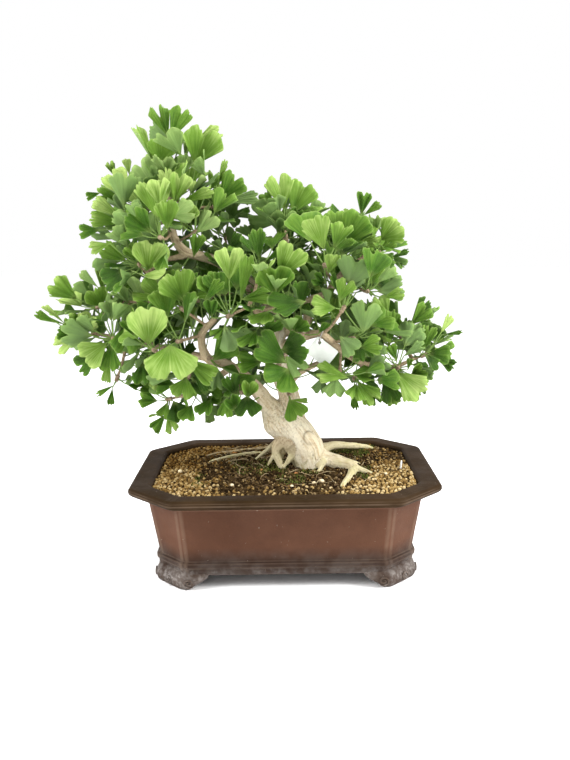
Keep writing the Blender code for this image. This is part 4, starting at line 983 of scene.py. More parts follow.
class Leaf:
    """A fan blade on its stalk: where it stands, how it is turned and how it is curled."""

    def __init__(self, base, tip, spread, curl, turn, start, chance, face=None):
        self.steps = FRONT_STEPS if face is None else FILL_STEPS
        self.base = base
        self.start = start
        self.out = (tip - base).normalized()
        self.reach = (tip - base).length
        face = (EYE - base).normalized() if face is None else face
        side = face.cross(self.out).normalized()
        up = self.out.cross(side)
        turned = math.radians(turn)
        self.side = side * math.cos(turned) + up * math.sin(turned)
        self.up = self.out.cross(self.side)
        self.spread = math.radians(spread)
        self.curl = max(curl, self.spread / TIGHTEST_CURL)
        self.notch = chance.uniform(0.08, 0.34) if spread > 20 else 0.04
        self.wave = chance.uniform(0.5, 2.4) if spread > 20 else 0.4
        self.ripples = chance.uniform(5.0, 8.0)
        self.phase = chance.uniform(0.0, 6.28)
        self.bright = False

    def surface(self, t, s):
        """A point of the blade's middle surface: t across it from -1 to 1, s from stalk to margin."""
        shape = 1 - self.notch * math.exp(-((t / NOTCH_WIDTH) ** 2)) - SIDE_DROOP * t ** 4
        r = s * self.reach * (shape + RIPPLE * math.sin(9 * t + self.phase))
        k = self.curl
        c = math.sqrt(max(0.0, 1 - k * k))
        phi = t * self.spread / k
        x = r * (c * c + k * k * math.cos(phi))
        y = r * k * math.sin(phi)
        z = r * k * c * (1 - math.cos(phi)) + s * self.wave * math.sin(self.ripples * t + self.phase)
        return self.base + self.out * x + self.side * y + self.up * z

    def margin(self, t, thick):
        """The two skins' points on the margin at t."""
        middle = self.surface(t, 1.0)
        across = self.surface(t + MARGIN_STEP, 1.0) - self.surface(t - MARGIN_STEP, 1.0)
        along = middle - self.base
        normal = along.cross(across).normalized() * (thick / 2)
        return middle + normal, middle - normal

    def solid(self, thick=BLADE_THICK, grown=1.0, from_shoot=0.0):
        """Points and faces of the closed blade and stalk."""
        sag = Vector((0, 0, -STALK_SAG * (self.base - self.start).length))
        foot = self.start.lerp(self.base, from_shoot) + sag * (4 * from_shoot * (1 - from_shoot))
        way = (self.base - self.start).normalized()
        up = (self.up - way * self.up.dot(way)).normalized()
        width = STALK_RADIUS * (TEST_STALK if thick > BLADE_THICK else 1.0)
        points = []
        for spot, above, beside in ((foot, up, up.cross(way)), (self.base, self.up, self.side)):
            points += [spot + above * width, spot - above * width * 0.5 - beside * width,
                       spot - above * width * 0.5 + beside * width]
        faces = [(0, 2, 1)]
        for i in range(3):
            j = (i + 1) % 3
            faces += [(i, j, j + 3), (i, j + 3, i + 3)]
        top, left, right, first = 3, 4, 5, 6
        last = len(self.steps) - 1
        for t in self.steps:
            upper, lower = self.margin(t, thick)
            points += [self.base + (upper - self.base) * grown, self.base + (lower - self.base) * grown]
        upper = [first + 2 * i for i in range(last + 1)]
        lower = [first + 2 * i + 1 for i in range(last + 1)]
        for i in range(last):
            faces.append((top, upper[i], upper[i + 1]))
            faces.append((left if i < last / 2 else right, lower[i + 1], lower[i]))
            faces += [(upper[i], lower[i], lower[i + 1]), (upper[i], lower[i + 1], upper[i + 1])]
        faces.append((left, right, lower[(last + 1) // 2]))
        faces += [(top, left, lower[0]), (top, lower[0], upper[0])]
        faces += [(top, upper[-1], lower[-1]), (top, lower[-1], right)]
        return points, faces

    def ball(self):
        """A middle and a radius that hold the whole leaf."""
        middle = self.base.lerp(self.surface(0, 1.0), 0.4)
        return middle, self.reach + (self.base - self.start).length

    def tree(self, **how):
        """The leaf's solid, ready for tests of what it touches."""
        points, faces = self.solid(**how)
        return BVHTree.FromPolygons(points, faces)


class Canopy:
    """The leaves placed so far, each with its spray, shapes and reach, and what they must stay clear of."""

    def __init__(self, obstacles):
        self.obstacles = obstacles
        self.leaves = []

    def fits(self, leaf, spray, thick):
        centre, reach = leaf.ball()
        whole = leaf.tree(thick=thick, grown=TEST_GROWTH)
        outer = leaf.tree(thick=thick, grown=TEST_GROWTH, from_shoot=OUTER_TESTED)
        if any(whole.overlap(solid) for solid in self.obstacles):
            return False
        for _, other_spray, other_whole, other_outer, other_centre, other_reach in self.leaves:
            if (centre - other_centre).length > reach + other_reach:
                continue
            if other_spray == spray:
                if outer.overlap(other_outer):
                    return False
            elif whole.overlap(other_whole):
                return False
        return True

    def add(self, leaf, spray):
        self.leaves.append((leaf, spray, leaf.tree(), leaf.tree(from_shoot=OUTER_KEPT), *leaf.ball()))


def front_leaf(entry, shift, start, depth, chance):
    """A listed leaf, as far behind its spray's own depth as shift says."""
    base_x, base_z, tip_x, tip_z, spread, curl, turn, lean = entry
    base = sighted(base_x, base_z, depth + shift - SET_FORWARD)
    tip = sighted(tip_x, tip_z, depth + shift - SET_FORWARD + lean)
    return Leaf(base, tip, spread, curl, turn, start, chance)


def in_pads(point, pads):
    """Whether a place lies in one of the foliage pads."""
    for x, z, y, half_x, half_z, half_y in pads:
        off = Vector(point) - sighted(x, z, y)
        if (off.x / half_x) ** 2 + (off.y / half_y) ** 2 + (off.z / half_z) ** 2 < 1:
            return True
    return False


def hides_view(leaf):
    """Whether a filling leaf would hide what stays in view from the front."""
    for t in (-1.0, 0.0, 1.0):
        for s in (0.1, 0.6, 1.0):
            spot = leaf.surface(t, s)
            x, z = shows_at(spot)
            for left, low, right, high in CLEAR_VIEWS:
                if left < x < right and low < z < high and spot.y < VIEW_DEPTH:
                    return True
    return False


def stalk_start(middle, axis, towards, chance):
    """Where a stalk leaves its shoot: on the side that it grows to, sunk well in."""
    way = towards - middle
    sideways = way - axis * way.dot(axis)
    inset = sideways.normalized() * STALK_INSET if sideways.length > 1.0 else Vector((0, 0, 0))
    return middle + axis * chance.uniform(-1.2, 1.8) + inset


def filling_leaf(middle, axis, chance):
    """A leaf drawn at random round a shoot, facing up and away from the tree's middle."""
    away = (middle - CROWN_MIDDLE).normalized()
    wild = Vector((chance.gauss(0, 1), chance.gauss(0, 1), chance.gauss(0, 1))).normalized()
    way = (away * FILL_AWAY + axis * FILL_ALONG + Vector((0, 0, FILL_RISE)) + wild * FILL_WILD).normalized()
    start = stalk_start(middle, axis, middle + way * 10.0, chance)
    base = start + way * chance.uniform(*FILL_STALK)
    nod = Vector((chance.gauss(0, FILL_NOD), chance.gauss(0, FILL_NOD), chance.gauss(-0.15, 0.3)))
    out = (way + nod).normalized()
    tip = base + out * chance.uniform(*FILL_REACH)
    face = (away * 0.7 + Vector((0, 0, 0.75)) + wild * 0.3).normalized()
    if abs(face.dot(out)) > 0.93:
        face = (face + Vector((0.3, 0.5, 0.4))).normalized()
    turn = chance.gauss(0, FILL_TURN)
    spread = chance.uniform(*FILL_SPREAD)
    return Leaf(base, tip, spread, chance.uniform(*FILL_CURL), turn, start, chance, face)


# %% [markdown]
# The solids came from the same draws in the same order. Each drawn leaf is kept when the corners of
# its blade are found on the solid of its spray, so the fine leaves take the very same places.

# %% Find the leaves of the solids
FOUND_WITHIN = 0.06


def search_tree(places):
    """A tree that finds the nearest of some places."""
    tree = KDTree(len(places))
    for k, place in enumerate(places):
        tree.insert(place, k)
    tree.balance()
    return tree


def solid_corners(name):
    """The corners of a solid, in millimetres from the middle of the pot."""
    return [(corner.co - POT_PLACE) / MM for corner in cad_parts[name].data.vertices]


def is_in_solid(leaf, tree):
    """Whether the ends of a leaf's margin are corners of the solid."""
    ends = [point for t in (-1.0, 1.0) for point in leaf.margin(t, BLADE_THICK)]
    return all(tree.find(point)[2] < FOUND_WITHIN for point in ends)


def solid_tree(name):
    faces = [tuple(face.vertices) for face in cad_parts[name].data.polygons]
    return BVHTree.FromPolygons(solid_corners(name), faces)


def find_leaves(frames):
    """Every leaf of the solids, by drawing them again."""
    canopy = Canopy([solid_tree(name) for name in ("pot", "wood", "soil", "tag_ring", "tag_card")])
    chance = random.Random(SEED)
    trees = {name: search_tree(solid_corners("spray_" + name)) for name in SPRAYS}
    for name, (place, _, entries) in SPRAYS.items():
        middle, axis, _, _ = frames[name]
        for entry in entries:
            base = sighted(entry[0], entry[1], place[2])
            start = stalk_start(middle, axis, base, chance)
            draw = chance.random()
            for shift in SHIFTS:
                leaf = front_leaf(entry, shift, start, place[2], random.Random(draw))
                if is_in_solid(leaf, trees[name]):
                    leaf.bright = (name, entries.index(entry)) in BRIGHT_LEAVES
                    canopy.add(leaf, name)
                    break
    faced = len(canopy.leaves)
    for name, (_, extra, _) in SPRAYS.items():
        middle, axis, _, _ = frames[name]
        wanted = extra
        for _ in range(FILL_TRIES * extra):
            if not wanted:
                break
            leaf = filling_leaf(middle, axis, chance)
            if is_in_solid(leaf, trees[name]):
                canopy.add(leaf, name)
                wanted -= 1
    print(f"{faced} leaves face the front and {len(canopy.leaves) - faced} fill in")
    return canopy


BRIGHT_LEAVES = (
    ("left_front", 0), ("left_fan", 0), ("centre", 0), ("centre_right", 0), ("right_shoulder", 0),
    ("right_low_end", 1),
)
frames = shoot_frames()
canopy = find_leaves(frames)

# %% [markdown]
# A few more leaves draw the crown's edge as it is seen from the front. They are too thin and too many
# for solids of their own, and each one has to fit in like the rest.

# %% Leaves at the edge
MORE_SEED = 29
MORE_THICK = 0.9
EDGE_LEAVES = (
    ("apex", -98, 468, -64, 484, 21, 0.8, -15, 0), ("crown_left", -180, 437, -187, 454, 22, 0.8, 15, 0),
    ("crown_left", -165, 440, -168, 457, 20, 0.8, 15, 4),
    ("crown_left", -198, 421, -214, 416, 22, 0.8, 20, 0),
    ("shoulder", -200, 381, -224, 379, 26, 0.8, 15, 0),
    ("upper_left", -190, 366, -213, 360, 24, 0.8, 10, 0),
    ("far_left", -255, 279, -278, 290, 15, 0.7, 25, 0),
    ("far_left", -232, 262, -258, 250, 30, 0.8, 10, 0),
    ("left_low", -211, 242, -235, 225, 34, 0.8, 15, 0),
    ("low_left", -136, 171, -152, 151, 22, 0.8, 20, 0), ("centre", -66, 271, -81, 260, 28, 0.7, 15, -6),
    ("funnels", -66, 190, -68, 166, 30, 0.8, 15, 0),
    ("right_shoulder", 116, 368, 133, 383, 24, 0.8, 15, 0),
    ("right_middle", 113, 302, 136, 308, 24, 0.8, 20, 0),
    ("right_end_top", 146, 276, 163, 300, 22, 0.7, 20, 6),
    ("right_low_end", 137, 206, 154, 187, 26, 0.8, 15, 0),
    ("right_low_front", 129, 230, 122, 249, 24, 0.8, 15, -4),
    ("right_low_end", 120, 200, 128, 178, 28, 0.8, 15, 0),
    ("neck_low", -60, 356, -42, 372, 34, 0.8, 10, 8), ("right_end", 176, 232, 196, 222, 26, 0.8, 15, 0),
    ("right_low", 96, 200, 108, 180, 28, 0.8, 15, 0),
)


def add_edge_leaves():
    chance = random.Random(MORE_SEED - 5)
    before = len(canopy.leaves)
    for name, *entry in EDGE_LEAVES:
        depth = SPRAYS[name][0][2]
        middle, axis, _, _ = frames[name]
        start = stalk_start(middle, axis, sighted(entry[0], entry[1], depth), chance)
        draw = chance.random()
        for shift in SHIFTS:
            leaf = front_leaf(entry, shift, start, depth, random.Random(draw))
            if canopy.fits(leaf, name, MORE_THICK):
                canopy.add(leaf, name)
                break
    print(f"{len(canopy.leaves) - before} of {len(EDGE_LEAVES)} leaves at the edge")


# %% [markdown]
# A living spray has more small leaves than its solid, and every limb of the crown carries short spurs
# along its length with leaves of their own. They are drawn the same way, with shorter blades, and stay
# only where they touch nothing and hide nothing that is to be seen.

# %% Small leaves between
MORE_WANTED = 9
MORE_TRIES = 320
MORE_SCALE = (0.62, 0.95)
MORE_FORWARD = 6
SPUR_WANTED = 330
SPUR_TRIES = 12000
SPUR_SCALE = (0.6, 0.98)
SPUR_FORWARD = 32
SPUR_LENGTH = 1.4
SPUR_SUNK = 2.2
TWIG_RADII = (TWIG_ROOT_RADIUS, TWIG_RADIUS, TWIG_RADIUS)
# Thinner pads at the crown's edge, where only leaves on spurs reach
EDGE_PADS = (
    (-78, 190, -10, 56, 30, 60), (-200, 408, 0, 24, 42, 44), (-96, 470, 0, 34, 34, 34),
    (-236, 240, 0, 36, 30, 40), (96, 212, -20, 60, 30, 60), (10, 330, 0, 80, 70, 110),
    (-80, 330, 0, 80, 60, 110),
)


def shortened(leaf, scale):
    leaf.base = leaf.start.lerp(leaf.base, scale)
    leaf.reach *= scale


def lies_well(leaf, pads, front):
    """Whether a leaf stays inside the pads, behind a depth and out of what is to be seen."""
    if not in_pads(leaf.surface(0, 1.0), pads) or not in_pads(leaf.surface(0, 0.5), pads):
        return False
    return leaf.surface(0, 0.6).y >= front and not hides_view(leaf)


def add_small_leaves():
    chance = random.Random(MORE_SEED)
    before = len(canopy.leaves)
    for name in SPRAYS:
        middle, axis, _, _ = frames[name]
        wanted = MORE_WANTED
        for _ in range(MORE_TRIES):
            if not wanted:
                break
            leaf = filling_leaf(middle, axis, chance)
            shortened(leaf, chance.uniform(*MORE_SCALE))
            if lies_well(leaf, PADS, middle.y - MORE_FORWARD) and canopy.fits(leaf, name, MORE_THICK):
                canopy.add(leaf, name)
                wanted -= 1
    print(f"{len(canopy.leaves) - before} small leaves more on the shoots")


def add_spur_leaves():
    chance = random.Random(MORE_SEED + 7)
    limbs = [smooth_path(*limb_path(places)) for name, places in LIMBS.items() if name not in ROOTS]
    limbs += [smooth_path((root, bend, middle), TWIG_RADII) for middle, _, root, bend in frames.values()]
    lengths = [len(path) for path, _ in limbs]
    wanted = SPUR_WANTED
    for _ in range(SPUR_TRIES):
        if not wanted:
            break
        path, widths = chance.choices(limbs, lengths)[0]
        k = chance.randrange(1, len(path))
        way = (path[k] - path[k - 1]).normalized()
        outward = Vector((chance.gauss(0, 1), chance.gauss(0, 1), chance.gauss(0.5, 1)))
        outward = (outward - way * outward.dot(way)).normalized()
        spur = path[k] + outward * (widths[k] + SPUR_LENGTH)
        leaf = filling_leaf(spur, outward, chance)
        leaf.start = spur
        shortened(leaf, chance.uniform(*SPUR_SCALE))
        front = path[k].y - SPUR_FORWARD
        if lies_well(leaf, PADS + EDGE_PADS, front) and canopy.fits(leaf, "spurs", MORE_THICK):
            leaf.start = spur - outward * SPUR_SUNK
            canopy.add(leaf, "spurs")
            wanted -= 1
    print(f"{SPUR_WANTED - wanted} leaves on spurs")


add_edge_leaves()
add_small_leaves()
add_spur_leaves()

# %% [markdown]
# The fine skin of a leaf is a grid: columns run out from the stalk like its ribs, rows cross it. The
# margin is nicked and wavy as on real leaves. Two skins and a thin wall between them close the blade.

# %% Fine leaves
COLUMNS = 30
SMALL_COLUMNS = 20
ROWS = (0.03, 0.25, 0.54, 0.82, 1.0)
ROW_THICK = (1.6, 1.2, 1.0, 0.8, 0.45)
SKIN_THICK = 0.34
NICK_DEPTH = 0.05
LARGE_REACH = 27
STALK_SIDES = 5
STALK_STEPS = 5
STALK_RADII = (0.85, 0.62)
SHOOT_STEPS = 15
SHOOT_SIDES = 12
SHOOT_TIP = 1.5
SCAR_RING = 0.28
BRIGHT_TONES = (0.66, 0.8)
CROWN_SHADE_REACH = 250.0


def blade_grid(leaf, nicks):
    """The blade's middle surface as Leaf.surface has it, on a whole grid, with a nicked margin."""
    t = np.linspace(-1, 1, len(nicks))[None, :]
    s = np.array(ROWS)[:, None]
    shape = 1 - leaf.notch * np.exp(-((t / NOTCH_WIDTH) ** 2)) - SIDE_DROOP * t ** 4
    shape = shape + RIPPLE * np.sin(9 * t + leaf.phase) - nicks[None, :] * s ** 6
    r = s * leaf.reach * shape
    k = leaf.curl
    c = math.sqrt(max(0.0, 1 - k * k))
    phi = t * leaf.spread / k
    x = r * (c * c + k * k * np.cos(phi))
    y = r * k * np.sin(phi)
    z = r * k * c * (1 - np.cos(phi)) + s * leaf.wave * np.sin(leaf.ripples * t + leaf.phase)
    z = z + 0.5 * s ** 3 * np.sin(17 * t + 2 * leaf.phase)
    axes = np.array([leaf.out, leaf.side, leaf.up])
    return np.array(leaf.base) + x[..., None] * axes[0] + y[..., None] * axes[1] + z[..., None] * axes[2]


def grid_normals(grid):
    normals = np.cross(np.gradient(grid, axis=0), np.gradient(grid, axis=1))
    return normals / np.maximum(np.linalg.norm(normals, axis=2, keepdims=True), 1e-9)


def blade_faces(columns):
    """Faces of two skins over one grid, with the wall round their edge."""
    columns += 1
    rows = len(ROWS)
    lower = rows * columns
    faces = []
    for r in range(rows - 1):
        for c in range(columns - 1):
            a = r * columns + c
            quad = (a, a + columns, a + columns + 1, a + 1)
            faces.append(quad)
            faces.append(tuple(lower + i for i in quad[::-1]))
    edge = list(range(columns)) + [columns - 1 + r * columns for r in range(1, rows)]
    edge += [(rows - 1) * columns + c for c in range(columns - 2, -1, -1)]
    edge += [r * columns for r in range(rows - 2, 0, -1)]
    for k, a in enumerate(edge):
        b = edge[(k + 1) % len(edge)]
        faces.append((a, b, lower + b, lower + a))
    return faces


BLADE_FACES = {columns: blade_faces(columns) for columns in (COLUMNS, SMALL_COLUMNS)}


def blade(leaf, chance):
    """Points, faces and places on the blade from 0 to 1 of a fine leaf."""
    columns = COLUMNS if leaf.reach > LARGE_REACH else SMALL_COLUMNS
    nicks = np.array([max(0.0, chance.gauss(0, 1)) ** 2 * 0.4 for _ in range(columns + 1)])
    grid = blade_grid(leaf, NICK_DEPTH * np.minimum(nicks, 2.2))
    thin = grid_normals(grid) * (SKIN_THICK / 2 * np.array(ROW_THICK)[:, None, None])
    points = np.concatenate([(grid + thin).reshape(-1, 3), (grid - thin).reshape(-1, 3)])
    places = [(c / columns, s) for s in ROWS for c in range(columns + 1)]
    return points.tolist(), BLADE_FACES[columns], places * 2


def stalk_rings(leaf):
    sag = Vector((0, 0, -STALK_SAG * (leaf.base - leaf.start).length))
    parts = [k / (STALK_STEPS - 1) for k in range(STALK_STEPS)]
    path = [leaf.start.lerp(leaf.base, part) + sag * (4 * part * (1 - part)) for part in parts]
    first, last = STALK_RADII
    radii = [first + (last - first) * part for part in parts] + [last * 0.5]
    return tube_rings(path + [leaf.surface(0, 3.0 / leaf.reach)], radii, STALK_SIDES)


def shoot_rings(middle, axis):
    """The short shoot: a stub ringed by the scars of former years, with scales round its tip."""
    path = []
    radii = []
    for k in range(SHOOT_STEPS):
        part = k / (SHOOT_STEPS - 1)
        path.append(middle + axis * (-SHOOT_BACK + (SHOOT_BACK + SHOOT_FRONT + SHOOT_TIP) * part))
        scales = 1.0 if k < SHOOT_STEPS - 2 else 0.72 - 0.45 * (k % 2)
        radii.append((SHOOT_RADIUS - 0.35 * part + SCAR_RING * (k % 2)) * scales)
    return tube_rings(path, radii, SHOOT_SIDES)


def leaf_tone_and_shade(leaf, chance):
    """How light a leaf is: a random tone, with painted shade that darkens leaves deep inside the crown and
    lightens those outside and above.
    """
    if leaf.bright:
        return chance.uniform(*BRIGHT_TONES)
    # Painted shade: the farther a leaf lies from the crown's middle, the lighter its tone
    outside = (leaf.surface(0, 0.7) - CROWN_MIDDLE).length / CROWN_SHADE_REACH
    return min(0.97, max(0.02, 0.18 + 0.38 * outside + chance.gauss(0, 0.19)))


def make_spray(name, leaves, finishes, chance):
    """One spray as a mesh; its kind mark is 0 above, 1 below, 2 on stalks and 3 on the shoot."""
    body = Body()
    tones = []
    kinds = []
    uv = []
    for leaf in leaves:
        tone = leaf_tone_and_shade(leaf, chance)
        points, faces, places = blade(leaf, chance)
        half = body.add(points, faces) // 2
        stalk = body.loft(stalk_rings(leaf))
        tones += [tone] * (2 * half + stalk)
        kinds += [0.0] * half + [1.0] * half + [2.0] * stalk
        uv += places + [(0.5, 0.0)] * stalk
    if name in frames:
        shoot = body.loft(shoot_rings(*frames[name][:2]), 1)
        tones += [0.5] * shoot
        kinds += [3.0] * shoot
        uv += [(0.5, 0.0)] * shoot
    piece = mesh_piece("leaves_" + name, body.points, body.faces, finishes, {"tone": tones, "kind": kinds},
                       slots=body.slots)
    layer = piece.data.uv_layers.new(name="leaf")
    corners = np.empty(len(piece.data.loops), np.int32)
    piece.data.loops.foreach_get("vertex_index", corners)
    layer.data.foreach_set("uv", np.array(uv, np.float32)[corners].ravel())
    turned_outwards(piece)
    hand_over(piece, "leaf", *(["spray_" + name] if name in SPRAYS else []))


# %% [markdown]
# A ginkgo blade is satin green, with fine ribs that fork as they run out. Light comes through it, and
# its underside is paler and duller. Each leaf has one tone, partly at random and partly painted shade
# that darkens the leaves deep inside the crown.

# %% Leaf finish
RIBS = 26.0
LEAF_GREENS_AND_SHADE = (
    # The dark end is painted shade for leaves deep in the crown, the light end is for leaves outside it
    (0.0, (0.006, 0.028, 0.0016)), (0.3, (0.035, 0.104, 0.006)), (0.65, (0.125, 0.235, 0.027)),
    (1.0, (0.38, 0.505, 0.145)),
)
UNDERSIDE = (0.22, 0.32, 0.13)
RIB_GREEN = (0.36, 0.50, 0.16)
FOOT_GREEN = (0.34, 0.46, 0.12)
BRIM_GREEN = (0.38, 0.50, 0.15)
STALK_GREEN = (0.20, 0.30, 0.07)
LIGHT_THROUGH = (0.35, 0.62, 0.06)
THROUGH_SHARE = 0.24


def leaf_finish():
    coat = Coat("ginkgo_leaf", 0.55, 0.05)
    tone = coat.mark("tone")
    kind = coat.mark("kind")
    under = coat.rise(kind, 0.4, 0.6)
    stalk = coat.rise(kind, 1.4, 1.6)
    cloud = coat.noise(coat.place, 44.0, 3.0)
    across, out, _ = coat.axes(coat.node("UVMap", uv_map="leaf").outputs["UV"])
    lanes = coat.node("CombineXYZ", {"X": coat.times(across, 15.0), "Y": out, "Z": tone}).outputs[0]
    shade = coat.plus(tone, coat.times(coat.minus(cloud, 0.5), 0.5))
    shade = coat.plus(coat.drift(shade, lanes, 1.6, 3.0, 0.75), coat.rise(out, 0, 1, -0.20, 0.14))
    green = coat.ramp(shade, LEAF_GREENS_AND_SHADE)
    green = coat.mixed(under, green, coat.mixed(0.5, green, UNDERSIDE))
    bent = coat.plus(across, coat.times(cloud, 0.02))
    ribs = math_node(coat.tree, "SINE", coat.times(bent, 2 * math.pi * RIBS))
    forked = math_node(coat.tree, "SINE", coat.times(bent, 4 * math.pi * RIBS))
    far = coat.rise(out, 0.35, 0.55)
    ribbing = coat.node("Mix", {0: far, 2: ribs, 3: forked}, data_type="FLOAT").outputs[0]
    on_blade = coat.minus(1.0, stalk)
    green = coat.stained(green, coat.times(coat.rise(ribbing, 0.2, 1.0), on_blade), 0.22, RIB_GREEN)
    green = coat.stained(green, coat.times(coat.rise(out, 0.30, 0.02), on_blade), 0.5, FOOT_GREEN)
    green = coat.stained(green, coat.rise(out, 0.955, 1.0), 0.35, BRIM_GREEN)
    green = coat.stained(green, stalk, 0.6, STALK_GREEN)
    coat.paint(green)
    coat.dull(coat.rise(under, 0, 1, 0.42, 0.62))
    coat.emboss(coat.plus(coat.times(ribbing, on_blade), coat.grit(900.0)), 0.00006)
    through = coat.node("BsdfTranslucent", {"Color": coat.mixed(0.5, green, LIGHT_THROUGH)})
    both = coat.node("MixShader", {0: THROUGH_SHARE, 1: coat.shader.outputs[0], 2: through.outputs[0]})
    surface = next(node for node in coat.tree.nodes if node.type == "OUTPUT_MATERIAL").inputs["Surface"]
    coat.tree.links.new(both.outputs[0], surface)
    return coat.material


LEAF = leaf_finish()
SHOOT = plain_coat("shoot_bark", (0.16, 0.11, 0.06), (0.32, 0.25, 0.16), 0.75, 300.0, 0.3,
                   border=0.2, grain=700.0, depth=0.0002)
chance = random.Random(MORE_SEED + 1)
for name in SPRAYS:
    own = [placed[0] for placed in canopy.leaves if placed[1] == name]
    make_spray(name, own, [LEAF, SHOOT], chance)
between = [placed[0] for placed in canopy.leaves if placed[1] == "spurs"]
for number in range(3):
    make_spray(f"between_{number + 1}", between[number::3], [LEAF, SHOOT], chance)

# %% [markdown]
# The wood is one body. On the tree each limb swells where it meets the next, so every limb is lofted
# round a smooth path, all lofts are fused by a fine voxel remesh, and a little smoothing fills the
# forks. The bark's fissures, rings and the pruning scar are then pressed into that skin.

# %% Wood
VOXEL = 1.22
TWIG_SIDES = 10
SIDE_LENGTH = 2.2
MOST_SIDES = 40
SMOOTHINGS = 5
NEIGHBOURS = 14
SAME_SKIN = 2.0
SCAR = sighted(32, 141, -24)
SCAR_REACH = 18
CRACKED = sighted(2, 172, -16)
CRACKED_REACH = 24.0
YEAR_STEP = 9.0
# Small roots that buttress the trunk: places (x, z, y) and radii
SMALL_ROOTS = (
    ((8, 146, -8, 5.0), (-4, 132, -10, 3.6), (-14, 118, -12, 2.4), (-20, 108, -12, 1.5)),
    ((2, 146, 0, 5.0), (-12, 134, 4, 3.4), (-24, 124, 10, 2.2), (-34, 116, 12, 1.4)),
    ((16, 130, -12, 4.0), (6, 116, -16, 2.8), (-2, 105, -20, 1.6)),
    ((4, 140, -4, 4.6), (-3, 124, -5, 3.6), (-6, 110, -6, 2.4)),
    ((46, 114, -14, 4.0), (40, 101, -26, 2.4), (31, 91, -36, 1.4)),
    ((62, 110, -8, 3.6), (76, 112, 2, 2.4), (90, 108, 6, 1.4)),
)
# Swellings of the trunk: place (x, z, y), height and reach
SWELLINGS = ((-16, 160, -6, 7.0, 15.0), (12, 120, -14, 2.0, 9.0))


def all_limbs():
    """The path and radii of every limb, of the small roots and of the twig to every shoot."""
    made = [smooth_path(*limb_path(places)) for places in (*LIMBS.values(), *SMALL_ROOTS)]
    for middle, axis, root, bend in frames.values():
        end = middle - axis * (SHOOT_BACK - 1.0)
        places = (root, bend, end) if (end - root).length > STRAIGHT_TWIG else (root, end)
        made.append(smooth_path(places, TWIG_RADII[-len(places):]))
    return made


def limb_stations(limbs):
    """For every station of every path: its place, two directions across it, its radius and the way gone."""
    rows = []
    for path, widths in limbs:
        side = (path[1] - path[0]).orthogonal().normalized()
        gone = 0.0
        for k, (spot, width) in enumerate(zip(path, widths)):
            way = (path[min(k + 1, len(path) - 1)] - path[max(k - 1, 0)]).normalized()
            side = (side - way * side.dot(way)).normalized()
            if k:
                gone += (spot - path[k - 1]).length
            rows.append((spot, side, way.cross(side), width, gone))
    return rows


def bark_relief(girth, around, other, gone, place):
    """How far the bark stands out: slow swellings, long fissures on old wood and rings on young wood."""
    swell = noise.noise(Vector((place.x, place.y, place.z)) * 0.085) * min(1.0, girth / 14) * 0.9
    cell = Vector((around * 0.30, other * 0.30, gone * 0.055))
    ridge = abs(noise.noise(cell)) + 0.5 * abs(noise.noise(cell * 2.3))
    ridge = max(0.0, 0.11 - ridge) / 0.11
    scaly = math.exp(-(((place - CRACKED).length / CRACKED_REACH) ** 2))
    if scaly > 0.05:
        net = min(abs(noise.noise(place * 0.21)), abs(noise.noise(place * 0.27 + Vector((7, 3, 5)))))
        ridge = max(ridge, scaly * max(0.0, 0.085 - net) / 0.085)
    fissure = -ridge * min(1.0, girth / 12) * 0.75
    plates = noise.noise(Vector((around * 0.5, other * 0.5, gone * 0.16))) * 0.22 * min(1.0, girth / 8)
    young = max(0.0, 1 - girth / 8)
    ring = math.exp(-(((gone % YEAR_STEP) - YEAR_STEP / 2) / 0.9) ** 2) * 0.34 * young
    knob = max(0.0, noise.noise(place * 0.16) - 0.32) * 2.4 * young
    return swell + fissure + plates + ring + knob, ridge


def scar_relief(place):
    """How far the rim and hollow of the pruning scar stand out, and how dark its cracks are."""
    gap = (place - SCAR).length
    if gap >= SCAR_REACH:
        return 0.0, 0.0
    lift = 1.7 * math.exp(-((gap - 6.2) / 1.9) ** 2) - 2.0 * math.exp(-((gap / 3.2) ** 2))
    above = 0.5 + 0.5 * math.sin(math.atan2(place.z - SCAR.z, place.x - SCAR.x) + 5.4)
    return lift, max(math.exp(-((gap / 2.4) ** 2)), above * math.exp(-((gap - 9.4) / 1.1) ** 2))


def fused_limbs(limbs):
    """All limbs as one skin."""
    body = Body()
    for path, widths in limbs:
        sides = int(min(MOST_SIDES, max(TWIG_SIDES, 2 * math.pi * max(widths) / SIDE_LENGTH)))
        body.loft(tube_rings(path, widths, sides))
    piece = body.piece("bark", [])
    remesh = piece.modifiers.new("fuse", "REMESH")
    remesh.mode = "VOXEL"
    remesh.voxel_size = VOXEL * MM
    soften = piece.modifiers.new("soften", "SMOOTH")
    soften.iterations = SMOOTHINGS
    soften.factor = 0.5
    return finished_mesh(piece)


def nearest_station(place, stations, tree):
    """The station of the thickest limb whose skin a place is on."""
    found = [(abs(away - stations[k][3]), k) for _, k, away in tree.find_n(place, NEIGHBOURS)]
    closest = min(found)[0]
    near = max((k for off, k in found if off < closest + SAME_SKIN), key=lambda k: stations[k][3])
    return stations[near]


